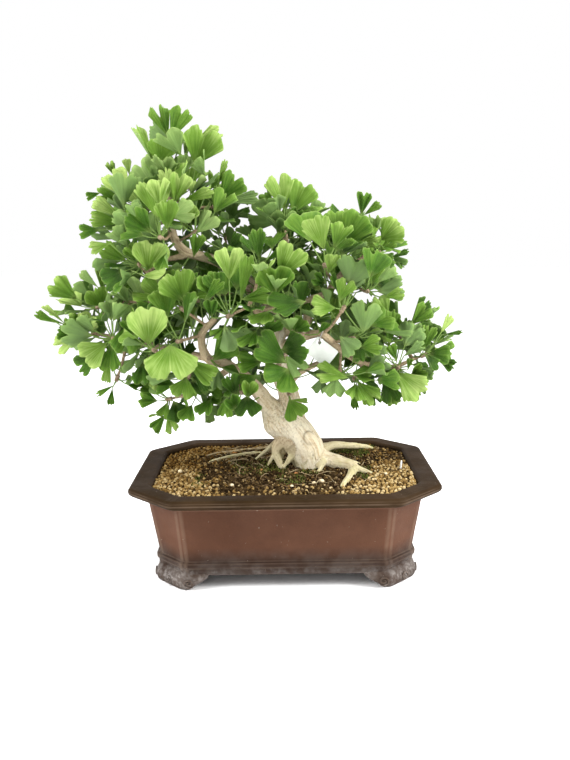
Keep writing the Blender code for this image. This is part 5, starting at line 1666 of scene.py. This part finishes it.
def make_wood(finish):
    limbs = all_limbs()
    piece = fused_limbs(limbs)
    stations = limb_stations(limbs)
    tree = search_tree([station[0] for station in stations])
    girths, along, cracks, moved = [], [], [], []
    for corner in piece.data.vertices:
        place = (corner.co - POT_PLACE) / MM
        spot, side, other, width, gone = nearest_station(place, stations, tree)
        off = place - spot
        u, v, w = off.dot(side), off.dot(other), gone + off.dot(side.cross(other))
        lift, crack = bark_relief(width, u, v, w, place)
        scar, scar_crack = scar_relief(place)
        lift += scar
        for x, z, y, height, reach in SWELLINGS:
            lift += height * math.exp(-(((place - sighted(x, z, y)).length / reach) ** 2))
        girths.append(width)
        along.extend((u, v, w))
        cracks.append(max(crack, scar_crack))
        moved.extend(corner.co + corner.normal * (lift * MM))
    piece.data.vertices.foreach_set("co", moved)
    for name, kind, field, values in (
            ("girth", "FLOAT", "value", girths), ("crack", "FLOAT", "value", cracks),
            ("limb_place", "FLOAT_VECTOR", "vector", along)):
        piece.data.attributes.new(name, kind, "POINT").data.foreach_set(field, values)
    piece.data.polygons.foreach_set("use_smooth", np.full(len(piece.data.polygons), True))
    piece.data.materials.append(finish)
    piece.data.update()
    hand_over(piece, "bark", "wood")


# %% [markdown]
# The bark is pale and corky on the trunk, with tan streaks along the grain and dark fissures, and
# browner on the thin branches. Near the wet soil it is tinged with green algae.

# %% Bark finish
OLD_BARKS = ((0.76, 0.70, 0.54), (0.66, 0.57, 0.40))
MIDDLE_BARKS = ((0.55, 0.45, 0.29), (0.30, 0.21, 0.12))
YOUNG_BARKS = ((0.36, 0.28, 0.17), (0.20, 0.145, 0.085))
ROOT_BARKS = ((0.56, 0.50, 0.32), (0.38, 0.30, 0.16))
STREAK_BROWN = (0.40, 0.26, 0.12)
ALGAE = (0.36, 0.34, 0.11)
LOW_BARK_DARK = (0.27, 0.21, 0.11)
CRACK_DARK = (0.10, 0.065, 0.035)
BARK_SPECKS = (0.17, 0.12, 0.07)


def bark_finish():
    coat = Coat("pale_bark", 0.85, 0.03)
    girth = coat.mark("girth")
    lane = coat.mark("limb_place", "Vector")
    streak = coat.noise(coat.stretched(lane, (0.42, 0.42, 0.05)), 1.0, 4.0)
    bands = coat.noise(coat.stretched(lane, (0.25, 0.25, 1.1)), 1.0, 3.0)
    streaks = coat.rise(streak, 0.48, 0.66)
    height = coat.axes(coat.place)["Z"]
    low = coat.rise(height, 0.132, 0.106)
    ground = coat.rise(height, 0.140, 0.124)
    grown = coat.rise(girth, 6.5, 11.5)
    old = coat.stained(coat.mixed(coat.patches(30.0, 0.5, 0.2), *OLD_BARKS), streaks, 0.6, STREAK_BROWN)
    young = coat.mixed(coat.rise(bands, 0.4, 0.62), *YOUNG_BARKS)
    middle = coat.mixed(coat.times(streaks, 0.7), *MIDDLE_BARKS)
    colour = coat.mixed(grown, coat.mixed(coat.rise(girth, 2.6, 5.5), young, middle), old)
    root = coat.mixed(coat.times(streaks, 0.5), *ROOT_BARKS)
    colour = coat.stained(colour, ground, coat.minus(1.0, grown), root)
    # Green algae in patches low down, a darker brown towards the soil, dark cracks and specks
    for share, much, stain in (
            (coat.times(low, coat.patches(85.0, 0.5, 0.12)), 0.45, ALGAE), (low, 0.10, LOW_BARK_DARK),
            (coat.mark("crack"), 0.65, CRACK_DARK), (coat.patches(420.0, 0.66, 0.03), 0.5, BARK_SPECKS)):
        colour = coat.stained(colour, share, much, stain)
    coat.paint(colour)
    relief = coat.plus(coat.times(streak, 1.6), coat.grit(420.0))
    coat.emboss(coat.plus(relief, coat.times(bands, 0.8)), 0.0007)
    return coat.material


make_wood(bark_finish())

# %% [markdown]
# The bed is baked clay grains at both ends and dark humus round the trunk, with moss, fine roots and
# litter. The bed itself is one body, a low mound that fills the pot. Three shares say what lies where.

# %% Soil bed
SOIL_EDGE_Z = 103.0
SOIL_MOUND = 6.5
MOUND_X = 28.0
MOUND_REACH_X = 95.0
MOUND_REACH_Y = 70.0
SOIL_GRAIN = 1.7
LUMP_SCALE = 0.055
GRAIN_SCALE = 0.21
BED_SIDES = 220
BED_RINGS = 34
BED_INSET = 26.4
BED_FLOOR_INSET = 38.4
BED_FLOOR_GAP = 0.4
BED_WALL_Z = 96.0
ZONE_BORDER = 5.0
# Patches of ground as they show from the front: left, right, bottom, top and how much
CLAY_ZONES = (
    (-160, -100, 70, 150, 1.0), (-106, -52, 121, 150, 0.95), (-52, -22, 128, 150, 0.6),
    (100, 160, 70, 113, 1.0), (68, 102, 68, 90, 0.75), (95, 140, 116, 135, 0.35), (-102, -78, 70, 92, 0.7),
    (-78, 60, 70, 82, 0.22), (-100, -60, 104, 116, 0.25),
)
MOSS_ZONES = (
    (-30, 3, 100, 116, 0.55), (-106, -96, 82, 100, 0.5), (44, 98, 120, 139, 0.7), (84, 100, 88, 106, 0.5),
    (-8, 24, 84, 96, 0.35), (18, 40, 98, 108, 0.4), (-62, -36, 100, 112, 0.25),
)


def soil_height(x, y):
    """The bed's surface: a low mound round the trunk, with the lumps of its grains."""
    mound = SOIL_MOUND * math.exp(-((x - MOUND_X) / MOUND_REACH_X) ** 2 - (y / MOUND_REACH_Y) ** 2)
    lump = noise.noise(Vector((x * LUMP_SCALE, y * LUMP_SCALE, 3.0)))
    grain = noise.noise(Vector((x * GRAIN_SCALE, y * GRAIN_SCALE, 9.0)))
    return SOIL_EDGE_Z + mound + SOIL_GRAIN * (lump + grain)


def on_soil(x, z, lift=0.0):
    """The place on the bed that shows at (x, z) from the front."""
    height = SOIL_EDGE_Z + 1.0
    for _ in range(4):
        away = (height - EYE.z) / (z - EYE.z)
        place = Vector((x * away, EYE.y - EYE.y * away, height))
        height = soil_height(place.x, place.y)
    return Vector((place.x, place.y, height + lift))


def even_plan(inset):
    """The pot's plan as evenly spaced points."""
    plan, _ = pot_plan(inset)
    ends = plan[1:] + plan[:1]
    lengths = [(b - a).length for a, b in zip(plan, ends)]
    total = sum(lengths)
    points = []
    k = 0
    passed = 0.0
    for i in range(BED_SIDES):
        goal = total * i / BED_SIDES
        while passed + lengths[k] < goal:
            passed += lengths[k]
            k += 1
        points.append(plan[k].lerp(ends[k], (goal - passed) / max(lengths[k], 1e-9)))
    return points


def zone_share(zones, x, y):
    """How much of a kind of ground lies at a place, with ragged edges."""
    place = (x, y, soil_height(x, y))
    seen_x, seen_z = shows_at(place)
    seen_x += 9 * noise.noise(Vector((x * 0.05, y * 0.05, 1.0)))
    seen_z += 5 * noise.noise(Vector((x * 0.05, y * 0.05, 5.0)))
    share = 0.0
    for left, right, low, high, much in zones:
        inside = min(seen_x - left, right - seen_x, 2 * (seen_z - low), 2 * (high - seen_z))
        share = max(share, much * min(1.0, max(0.0, inside / ZONE_BORDER + 0.5)))
    return share


def ground_rings():
    """Rings of the bed's surface, from the wall of the pot to its middle."""
    edge = even_plan(BED_INSET)
    rings = []
    for k in range(BED_RINGS):
        part = 1 - k / BED_RINGS
        rings.append([(p.x * part, p.y * part, soil_height(p.x * part, p.y * part)) for p in edge])
    return rings


def clay_share(x, y):
    return zone_share(CLAY_ZONES, x, y)


def moss_share(x, y):
    return zone_share(MOSS_ZONES, x, y)


def humus_share(x, y):
    return 1 - 0.75 * clay_share(x, y)


def speck_share(x, y):
    return 0.10 + 0.5 * clay_share(x, y)


def make_bed(finish):
    body = Body()
    floor = [(p.x, p.y, FLOOR_TOP + BED_FLOOR_GAP) for p in even_plan(BED_FLOOR_INSET)]
    wall = [(p.x, p.y, BED_WALL_Z) for p in even_plan(BED_INSET + 0.1)]
    body.loft([floor, wall] + ground_rings())
    marks = {"clay": [clay_share(x, y) for x, y, _ in body.points],
             "moss": [moss_share(x, y) for x, y, _ in body.points]}
    hand_over(body.piece("bed", [finish], marks), "soil", "soil")


def make_ground(name, share):
    """A sheet of the bed's surface that grains are scattered on, with their share."""
    rings = ground_rings()
    points = [point for ring in rings for point in ring]
    faces = loft_faces(len(rings), BED_SIDES, False) + [tuple(range(len(points) - BED_SIDES, len(points)))]
    return mesh_piece(name, points, faces, [], {"share": [share(x, y) for x, y, _ in points]})


# %% [markdown]
# Grains, crumbs and moss lie scattered, each a few millimetres from the next. Geometry Nodes repeat one
# small shape over the sheet by its share, turn and scale each at random, give it a tone of its own and
# dent it a little, so no two are alike.

# %% Scatter tree
SCATTER_INPUTS = (
    ("Geometry", "Geometry", None), ("Shape", "Object", None), ("Spacing", "Float", 0.004),
    ("Density", "Float", 90000.0), ("Smallest", "Vector", (1, 1, 1)), ("Largest", "Vector", (1, 1, 1)),
    ("Tumble", "Float", 3.1), ("Lift", "Float", 0.0), ("Dents", "Float", 0.0005),
    ("Dent Scale", "Float", 400.0), ("Seed", "Int", 0), ("Finish", "Material", None),
)
VECTORS = {"data_type": "FLOAT_VECTOR"}
FLOATS = {"data_type": "FLOAT"}
SCALING = {"operation": "SCALE"}
# Each node of the tree: its name here, its kind, its settings and the values of its inputs
SCATTER_NODES = (
    ("in", "NodeGroupInput", {}, {}), ("out", "NodeGroupOutput", {}, {}),
    ("spread", "GeometryNodeDistributePointsOnFaces", {"distribute_method": "POISSON"}, {}),
    ("share", "GeometryNodeInputNamedAttribute", FLOATS, {"Name": "share"}),
    ("raise", "GeometryNodeSetPosition", {}, {}), ("up", "ShaderNodeCombineXYZ", {}, {}),
    ("shape", "GeometryNodeObjectInfo", {}, {}),
    ("turn", "FunctionNodeRandomValue", VECTORS, {0: (-1, -1, -1), 1: (1, 1, 1)}),
    ("size", "FunctionNodeRandomValue", VECTORS, {}), ("tone", "FunctionNodeRandomValue", FLOATS, {}),
    ("fewer", "ShaderNodeVectorMath", SCALING, {}), ("place", "GeometryNodeInstanceOnPoints", {}, {}),
    ("mark", "GeometryNodeStoreNamedAttribute", {**FLOATS, "domain": "INSTANCE"}, {"Name": "tone"}),
    ("real", "GeometryNodeRealizeInstances", {}, {}), ("dent", "GeometryNodeSetPosition", {}, {}),
    ("noise", "ShaderNodeTexNoise", {}, {}), ("normal", "GeometryNodeInputNormal", {}, {}),
    ("level", "ShaderNodeMath", {"operation": "SUBTRACT"}, {1: 0.5}),
    ("depth", "ShaderNodeMath", {"operation": "MULTIPLY"}, {}),
    ("along", "ShaderNodeVectorMath", SCALING, {}), ("colour", "GeometryNodeSetMaterial", {}, {}),
)
# Each link: a node and its output, then a node and its input
SCATTER_LINKS = (
    ("in", "Geometry", "spread", "Mesh"), ("in", "Spacing", "spread", "Distance Min"),
    ("in", "Density", "spread", "Density Max"), ("in", "Seed", "spread", "Seed"),
    ("share", "Attribute", "spread", "Density Factor"), ("spread", "Points", "raise", "Geometry"),
    ("in", "Lift", "up", "Z"), ("up", "Vector", "raise", "Offset"),
    ("raise", "Geometry", "place", "Points"),
    ("in", "Shape", "shape", "Object"), ("shape", "Geometry", "place", "Instance"), ("turn", 0, "fewer", 0),
    ("in", "Tumble", "fewer", "Scale"), ("fewer", 0, "place", "Rotation"), ("in", "Smallest", "size", 0),
    ("in", "Largest", "size", 1), ("size", 0, "place", "Scale"), ("place", "Instances", "mark", "Geometry"),
    ("tone", 1, "mark", "Value"), ("mark", "Geometry", "real", "Geometry"),
    ("real", "Geometry", "dent", "Geometry"), ("in", "Dent Scale", "noise", "Scale"),
    ("noise", 0, "level", 0), ("level", 0, "depth", 0),
    ("in", "Dents", "depth", 1), ("normal", 0, "along", 0), ("depth", 0, "along", "Scale"),
    ("along", 0, "dent", "Offset"), ("dent", "Geometry", "colour", "Geometry"),
    ("in", "Finish", "colour", "Material"), ("colour", "Geometry", "out", 0),
)


def scatter_tree():
    tree = bpy.data.node_groups.new("scatter", "GeometryNodeTree")
    for name, kind, value in SCATTER_INPUTS:
        socket = tree.interface.new_socket(name, in_out="INPUT", socket_type="NodeSocket" + kind)
        if value is not None:
            socket.default_value = value
    tree.interface.new_socket("Geometry", in_out="OUTPUT", socket_type="NodeSocketGeometry")
    made = {}
    for name, kind, settings, values in SCATTER_NODES:
        made[name] = tree.nodes.new(kind)
        for setting, value in settings.items():
            setattr(made[name], setting, value)
        for label, value in values.items():
            made[name].inputs[label].default_value = value
    for start, output, end, label in SCATTER_LINKS:
        tree.links.new(made[start].outputs[output], made[end].inputs[label])
    return tree


SCATTER = scatter_tree()


def scatter(name, share, shape, finish, **values):
    """Grains scattered over the bed by a share, as one plain mesh."""
    piece = make_ground(name, share)
    modifier = piece.modifiers.new("scatter", "NODES")
    modifier.node_group = SCATTER
    values = {"Shape": shape, "Finish": finish, **values}
    for item in SCATTER.interface.items_tree:
        if item.in_out == "INPUT" and item.name.replace(" ", "_") in values:
            modifier[item.identifier] = values[item.name.replace(" ", "_")]
    finished_mesh(piece)
    bpy.data.objects.remove(shape, do_unlink=True)
    hand_over(piece, "soil")


def small_shape(maker, **settings):
    """A helper object with a small closed shape of unit size."""
    bm = bmesh.new()
    getattr(bmesh.ops, maker)(bm, **settings)
    mesh = bpy.data.meshes.new("shape")
    bm.to_mesh(mesh)
    bm.free()
    shape = bpy.data.objects.new("shape", mesh)
    bpy.context.scene.collection.objects.link(shape)
    return shape


# %% [markdown]
# Baked clay is tan to ochre and every grain has its own tone. Humus is dark and moist. Moss is a fine
# pile of green tips. The bed under them takes the same colours by the same shares.

# %% Soil finishes and grains
SHADED = (0.36, 0.28, 0.16)
MOSS_GREEN = (0.05, 0.065, 0.016)
HUMUS_BROWNS = ((0.022, 0.014, 0.007), (0.060, 0.038, 0.018))
CLAY_BROWNS = ((0.045, 0.026, 0.009), (0.095, 0.056, 0.020))


def toned_finish(name, stops, roughness, grain, darkening=0.0):
    """A finish in the tone of each grain, darker at the back and the left of the bed."""
    coat = Coat(name, roughness, 0.02)
    shade = coat.drift(coat.mark("tone"), coat.place, 240.0, 2.0, 0.5)
    axes = coat.axes(coat.place)
    back = coat.rise(axes["Y"], -0.05, 0.06)
    left = coat.rise(axes["X"], 0.11, 0.04, 0.35, 0.75)
    back_left_dark = coat.rise(coat.plus(back, left), 0.2, 1.4)
    coat.paint(coat.mixed(coat.times(back_left_dark, darkening), coat.ramp(shade, stops), SHADED, "MULTIPLY"))
    coat.emboss(coat.grit(grain), 0.0004)
    return coat.material


def bed_finish():
    coat = Coat("bed_soil", 0.95, 0.0)
    patches = coat.patches(160.0, 0.5, 0.1)
    humus = coat.mixed(patches, *HUMUS_BROWNS)
    colour = coat.mixed(coat.mark("clay"), humus, coat.mixed(patches, *CLAY_BROWNS))
    coat.paint(coat.mixed(coat.mark("moss"), colour, MOSS_GREEN))
    coat.emboss(coat.grit(330.0), 0.002)
    return coat.material


CLAY_GRAIN = toned_finish("baked_clay", (
    (0.0, (0.13, 0.075, 0.022)), (0.35, (0.27, 0.170, 0.058)), (0.7, (0.42, 0.300, 0.125)),
    (1.0, (0.60, 0.48, 0.27))), 0.85, 500.0, 0.9)
HUMUS = toned_finish("humus", (
    (0.0, (0.009, 0.005, 0.002)), (0.5, (0.036, 0.021, 0.008)), (0.85, (0.090, 0.056, 0.022)),
    (1.0, (0.20, 0.14, 0.07))), 0.9, 500.0)
MOSS = toned_finish("moss", (
    (0.0, (0.035, 0.050, 0.010)), (0.6, (0.10, 0.135, 0.025)), (1.0, (0.24, 0.27, 0.06))), 0.85, 700.0)
make_bed(bed_finish())
SPECK = {"subdivisions": 1, "radius": MM}
round_grain = small_shape("create_uvsphere", u_segments=6, v_segments=5, radius=MM)
scatter("clay_grains", clay_share, round_grain, CLAY_GRAIN, Spacing=0.0036, Smallest=(1.7, 1.7, 1.5),
        Largest=(2.5, 2.4, 2.1), Lift=0.0004, Dents=0.0011, Dent_Scale=330.0, Seed=3)
scatter("clay_specks", speck_share, small_shape("create_icosphere", **SPECK), CLAY_GRAIN, Spacing=0.0030,
        Smallest=(0.8, 0.8, 0.7), Largest=(1.7, 1.5, 1.3), Lift=0.0011, Dents=0.0008,
        Dent_Scale=420.0, Seed=8)
scatter("humus_crumbs", humus_share, small_shape("create_icosphere", **SPECK), HUMUS, Spacing=0.0023,
        Density=240000.0, Smallest=(1.0, 0.9, 0.7), Largest=(2.4, 1.9, 1.5), Lift=0.0003, Dents=0.0011,
        Dent_Scale=360.0, Seed=5)
moss_tip = small_shape("create_cone", segments=3, radius1=MM * 0.5, radius2=0.0, depth=MM * 2, cap_ends=True)
scatter("moss", moss_share, moss_tip, MOSS, Spacing=0.0009, Density=1500000.0, Smallest=(0.7, 0.7, 0.8),
        Largest=(1.5, 1.5, 1.9), Tumble=0.6, Lift=0.0011, Dents=0.0, Seed=7)

# %% [markdown]
# What lies loose on the bed: pale rootlets left of the trunk, scraps of bark and leaf, a few chips and
# pebbles, and the white peg at the right end. Each is a short bent tube, a curled flake or a pebble.

# %% Roots, litter and peg
ROOT_STRANDS = 70
STRAND_STEPS = 8
STRAND_LIFT = 0.9
FLAKES = 90
PEBBLES = ((43, 87, 2.9), (34, 85, 2.3), (-122, 100, 2.6), (118, 96, 2.4), (-62, 84, 2.2), (8, 82, 2.1))
CHIPS = ((13, 97, 4.6, 35), (-27, 101, 5.2, 80), (-58, 121, 5.0, 20))
# Where the rootlets start: left, right, bottom and top as they show from the front
STRAND_ZONES = ((-78, 8, 108, 129), (-60, 105, 82, 112))
LONG_ROOT = ((-90, 119), (-78, 122), (-62, 124), (-44, 127), (-26, 128), (-8, 131))
PEG = (135, 102, 11.0, 1.1)


def add_strand(body, path, radius, sides=5):
    """A root that tapers to both ends."""
    parts = [0.12 + 0.76 * k / (len(path) - 1) for k in range(len(path))]
    radii = [radius * (0.35 + 0.65 * math.sin(math.pi * part)) for part in parts]
    body.loft(tube_rings(path, radii, sides))


def wandering_path(chance, place, reach, hump):
    """A path that creeps over the bed from a place, a little above it in the middle."""
    heading = chance.uniform(0, 2 * math.pi)
    bend = chance.gauss(0, 0.11)
    path = []
    for k in range(STRAND_STEPS):
        part = k / (STRAND_STEPS - 1)
        height = soil_height(place.x, place.y) + STRAND_LIFT + hump * math.sin(math.pi * part)
        path.append(Vector((place.x, place.y, height)))
        place = place + Vector((math.cos(heading), math.sin(heading), 0)) * reach / STRAND_STEPS
        heading += bend + chance.gauss(0, 0.22)
    return path


def make_roots(finish):
    chance = random.Random(41)
    body = Body()
    path, _ = smooth_path([on_soil(x, z, 1.6) for x, z in LONG_ROOT], [1.0] * len(LONG_ROOT))
    add_strand(body, path, 1.7, 8)
    for number in range(ROOT_STRANDS):
        left, right, low, high = STRAND_ZONES[number % 3 == 0]
        place = on_soil(chance.uniform(left, right), chance.uniform(low, high))
        path = wandering_path(chance, place, chance.uniform(12, 42), chance.uniform(0.1, 2.2))
        add_strand(body, path, chance.uniform(0.20, 0.48))
    hand_over(body.piece("fine_roots", [finish]), "bark")


def flake(place, turn, long, wide, thick):
    """The rings of a thin, curled scrap."""
    rings = []
    for k in range(5):
        part = k / 4 - 0.5
        half = wide / 2 * (1 - 2.4 * part * part)
        curl = 0.8 * math.cos(math.pi * part) * long * 0.16
        rings.append([place + turn @ Vector((part * long, side * half, curl + up * thick / 2))
                      for side, up in ((-1, -1), (1, -1), (1, 1), (-1, 1))])
    return rings


def pebble(place, size, chance):
    """The rings of a small uneven stone."""
    rings = []
    for k in range(1, 8):
        lat = math.pi * k / 8
        rings.append([place + Vector((math.sin(lat) * math.cos(a), math.sin(lat) * math.sin(a),
                                      0.8 * math.cos(lat))) * size * chance.uniform(0.92, 1.04)
                      for a in (2 * math.pi * i / 12 for i in range(12))])
    return rings


def make_litter(finishes):
    chance = random.Random(43)
    body = Body()
    for _ in range(FLAKES):
        place = on_soil(chance.uniform(-75, 98), chance.uniform(80, 116), 1.2)
        turn = Matrix.Rotation(chance.uniform(0, 6.28), 3, "Z")
        turn = turn @ Matrix.Rotation(chance.gauss(0, 0.5), 3, "X")
        body.loft(flake(place, turn, chance.uniform(2.5, 6.5), chance.uniform(1.0, 2.6), 0.35), 0)
    for x, z, long, turn in CHIPS:
        body.loft(flake(on_soil(x, z, 2.4), Matrix.Rotation(math.radians(turn), 3, "Z"), long, 2.4, 1.1), 1)
    for x, z, size in PEBBLES:
        body.loft(pebble(on_soil(x, z, size * 0.5), size, chance), 2)
    hand_over(body.piece("litter", finishes), "soil")


def make_peg(finish):
    x, z, tall, radius = PEG
    foot = on_soil(x, z)
    path = [foot + Vector((0.3 * k, 0, tall * k / 4 - 1)) for k in range(5)]
    body = Body()
    body.loft(tube_rings(path, [radius * part for part in (1.0, 1.0, 1.0, 0.95, 0.6)], 12))
    hand_over(body.piece("peg", [finish]), "soil")


ROOTLET = plain_coat("rootlet", (0.42, 0.34, 0.20), (0.22, 0.16, 0.085), 0.8, 160.0)
SCRAP = plain_coat("dry_scrap", (0.040, 0.024, 0.012), (0.13, 0.085, 0.045), 0.85, 200.0)
CHIP = plain_coat("bark_chip", (0.42, 0.20, 0.07), (0.28, 0.12, 0.045), 0.8, 200.0)
PEBBLE = plain_coat("pebble", (0.72, 0.62, 0.42), (0.58, 0.46, 0.28), 0.7, 200.0)
PEG_WHITE = plain_coat("white_plastic", (0.80, 0.80, 0.78), (0.70, 0.70, 0.67), 0.4, 200.0)
make_roots(ROOTLET)
make_litter([SCRAP, CHIP, PEBBLE])
make_peg(PEG_WHITE)

# %% [markdown]
# A small card hangs from a low branch by a wire ring. Such a ring is bent from round wire, so it is a
# fine torus; the card has rounded corners and a punched hole, and it is left blank.

# %% Card and ring
TAG_LIMB = "right_low"
TAG_PLACE = 2
TAG_SIZE = (28.0, 0.8, 22.0)
TAG_TURN = 38.0
TAG_HOLE = 2.6
TAG_MARGIN = 4.8
TAG_CORNER = 2.2
TAG_EDGE = 0.15
RING_RADIUS = 10.0
RING_WIRE = 0.7
RING_FORWARD = 0.75
RING_STEPS = 64
RING_SIDES = 10


def make_ring_and_card(wire, paper):
    points, _ = limb_path(LIMBS[TAG_LIMB])
    middle = points[TAG_PLACE]
    along = (points[TAG_PLACE + 1] - points[TAG_PLACE - 1]).normalized()
    down = Vector((0, -RING_FORWARD, -1))
    down = (down - along * down.dot(along)).normalized()
    across = along.cross(down)
    spots = []
    for k in range(RING_STEPS):
        turn = 2 * math.pi * k / RING_STEPS
        outward = down * math.cos(turn) + across * math.sin(turn)
        for i in range(RING_SIDES):
            roll = 2 * math.pi * i / RING_SIDES
            wall = (outward * math.cos(roll) + along * math.sin(roll)) * RING_WIRE
            spots.append(middle + outward * RING_RADIUS + wall)
    faces = []
    for k in range(RING_STEPS):
        here, there = k * RING_SIDES, (k + 1) % RING_STEPS * RING_SIDES
        for i in range(RING_SIDES):
            j = (i + 1) % RING_SIDES
            faces.append((here + i, here + j, there + j, there + i))
    hand_over(turned_outwards(mesh_piece("wire_ring", spots, faces, [wire])), "wire", "tag_ring")
    length, thick, height = TAG_SIZE
    outline, _ = rounded([(-length / 2, -height / 2), (length / 2, -height / 2), (length / 2, height / 2),
                          (-length / 2, height / 2)], TAG_CORNER, 6, True)
    turned = Matrix.Rotation(math.radians(TAG_TURN), 3, "Y")
    hole = middle + down * RING_RADIUS
    centre = hole + turned @ Vector((length / 2 - TAG_MARGIN, 0, TAG_MARGIN - height / 2))
    rings = [[centre + turned @ Vector((p.x * inset, y, p.y * inset)) for p in outline]
             for y, inset in ((-thick / 2, 0.985), (-thick / 2 + TAG_EDGE, 1.0),
                              (thick / 2 - TAG_EDGE, 1.0), (thick / 2, 0.985))]
    faces = loft_faces(len(rings), len(outline))
    card = mesh_piece("card", [p for ring in rings for p in ring], faces, [paper], smooth=False)
    turned_outwards(card)
    drilled(card, TAG_HOLE, 10, 32, hole, (math.pi / 2, 0, 0))
    hand_over(card, "tag", "tag_card")


WIRE_GREYS = ((0.42, 0.40, 0.37), (0.24, 0.21, 0.18))
CARD_WHITES = ((0.66, 0.69, 0.64), (0.60, 0.63, 0.58))
WIRE = plain_coat("dull_wire", *WIRE_GREYS, 0.4, 240.0, 0.5, 0.9, 900.0, 0.00003, 0.2)
CARD = plain_coat("white_card", *CARD_WHITES, 0.55, 120.0, 0.4, 0.0, 1400.0, 0.00003, 0.2)
make_ring_and_card(WIRE, CARD)
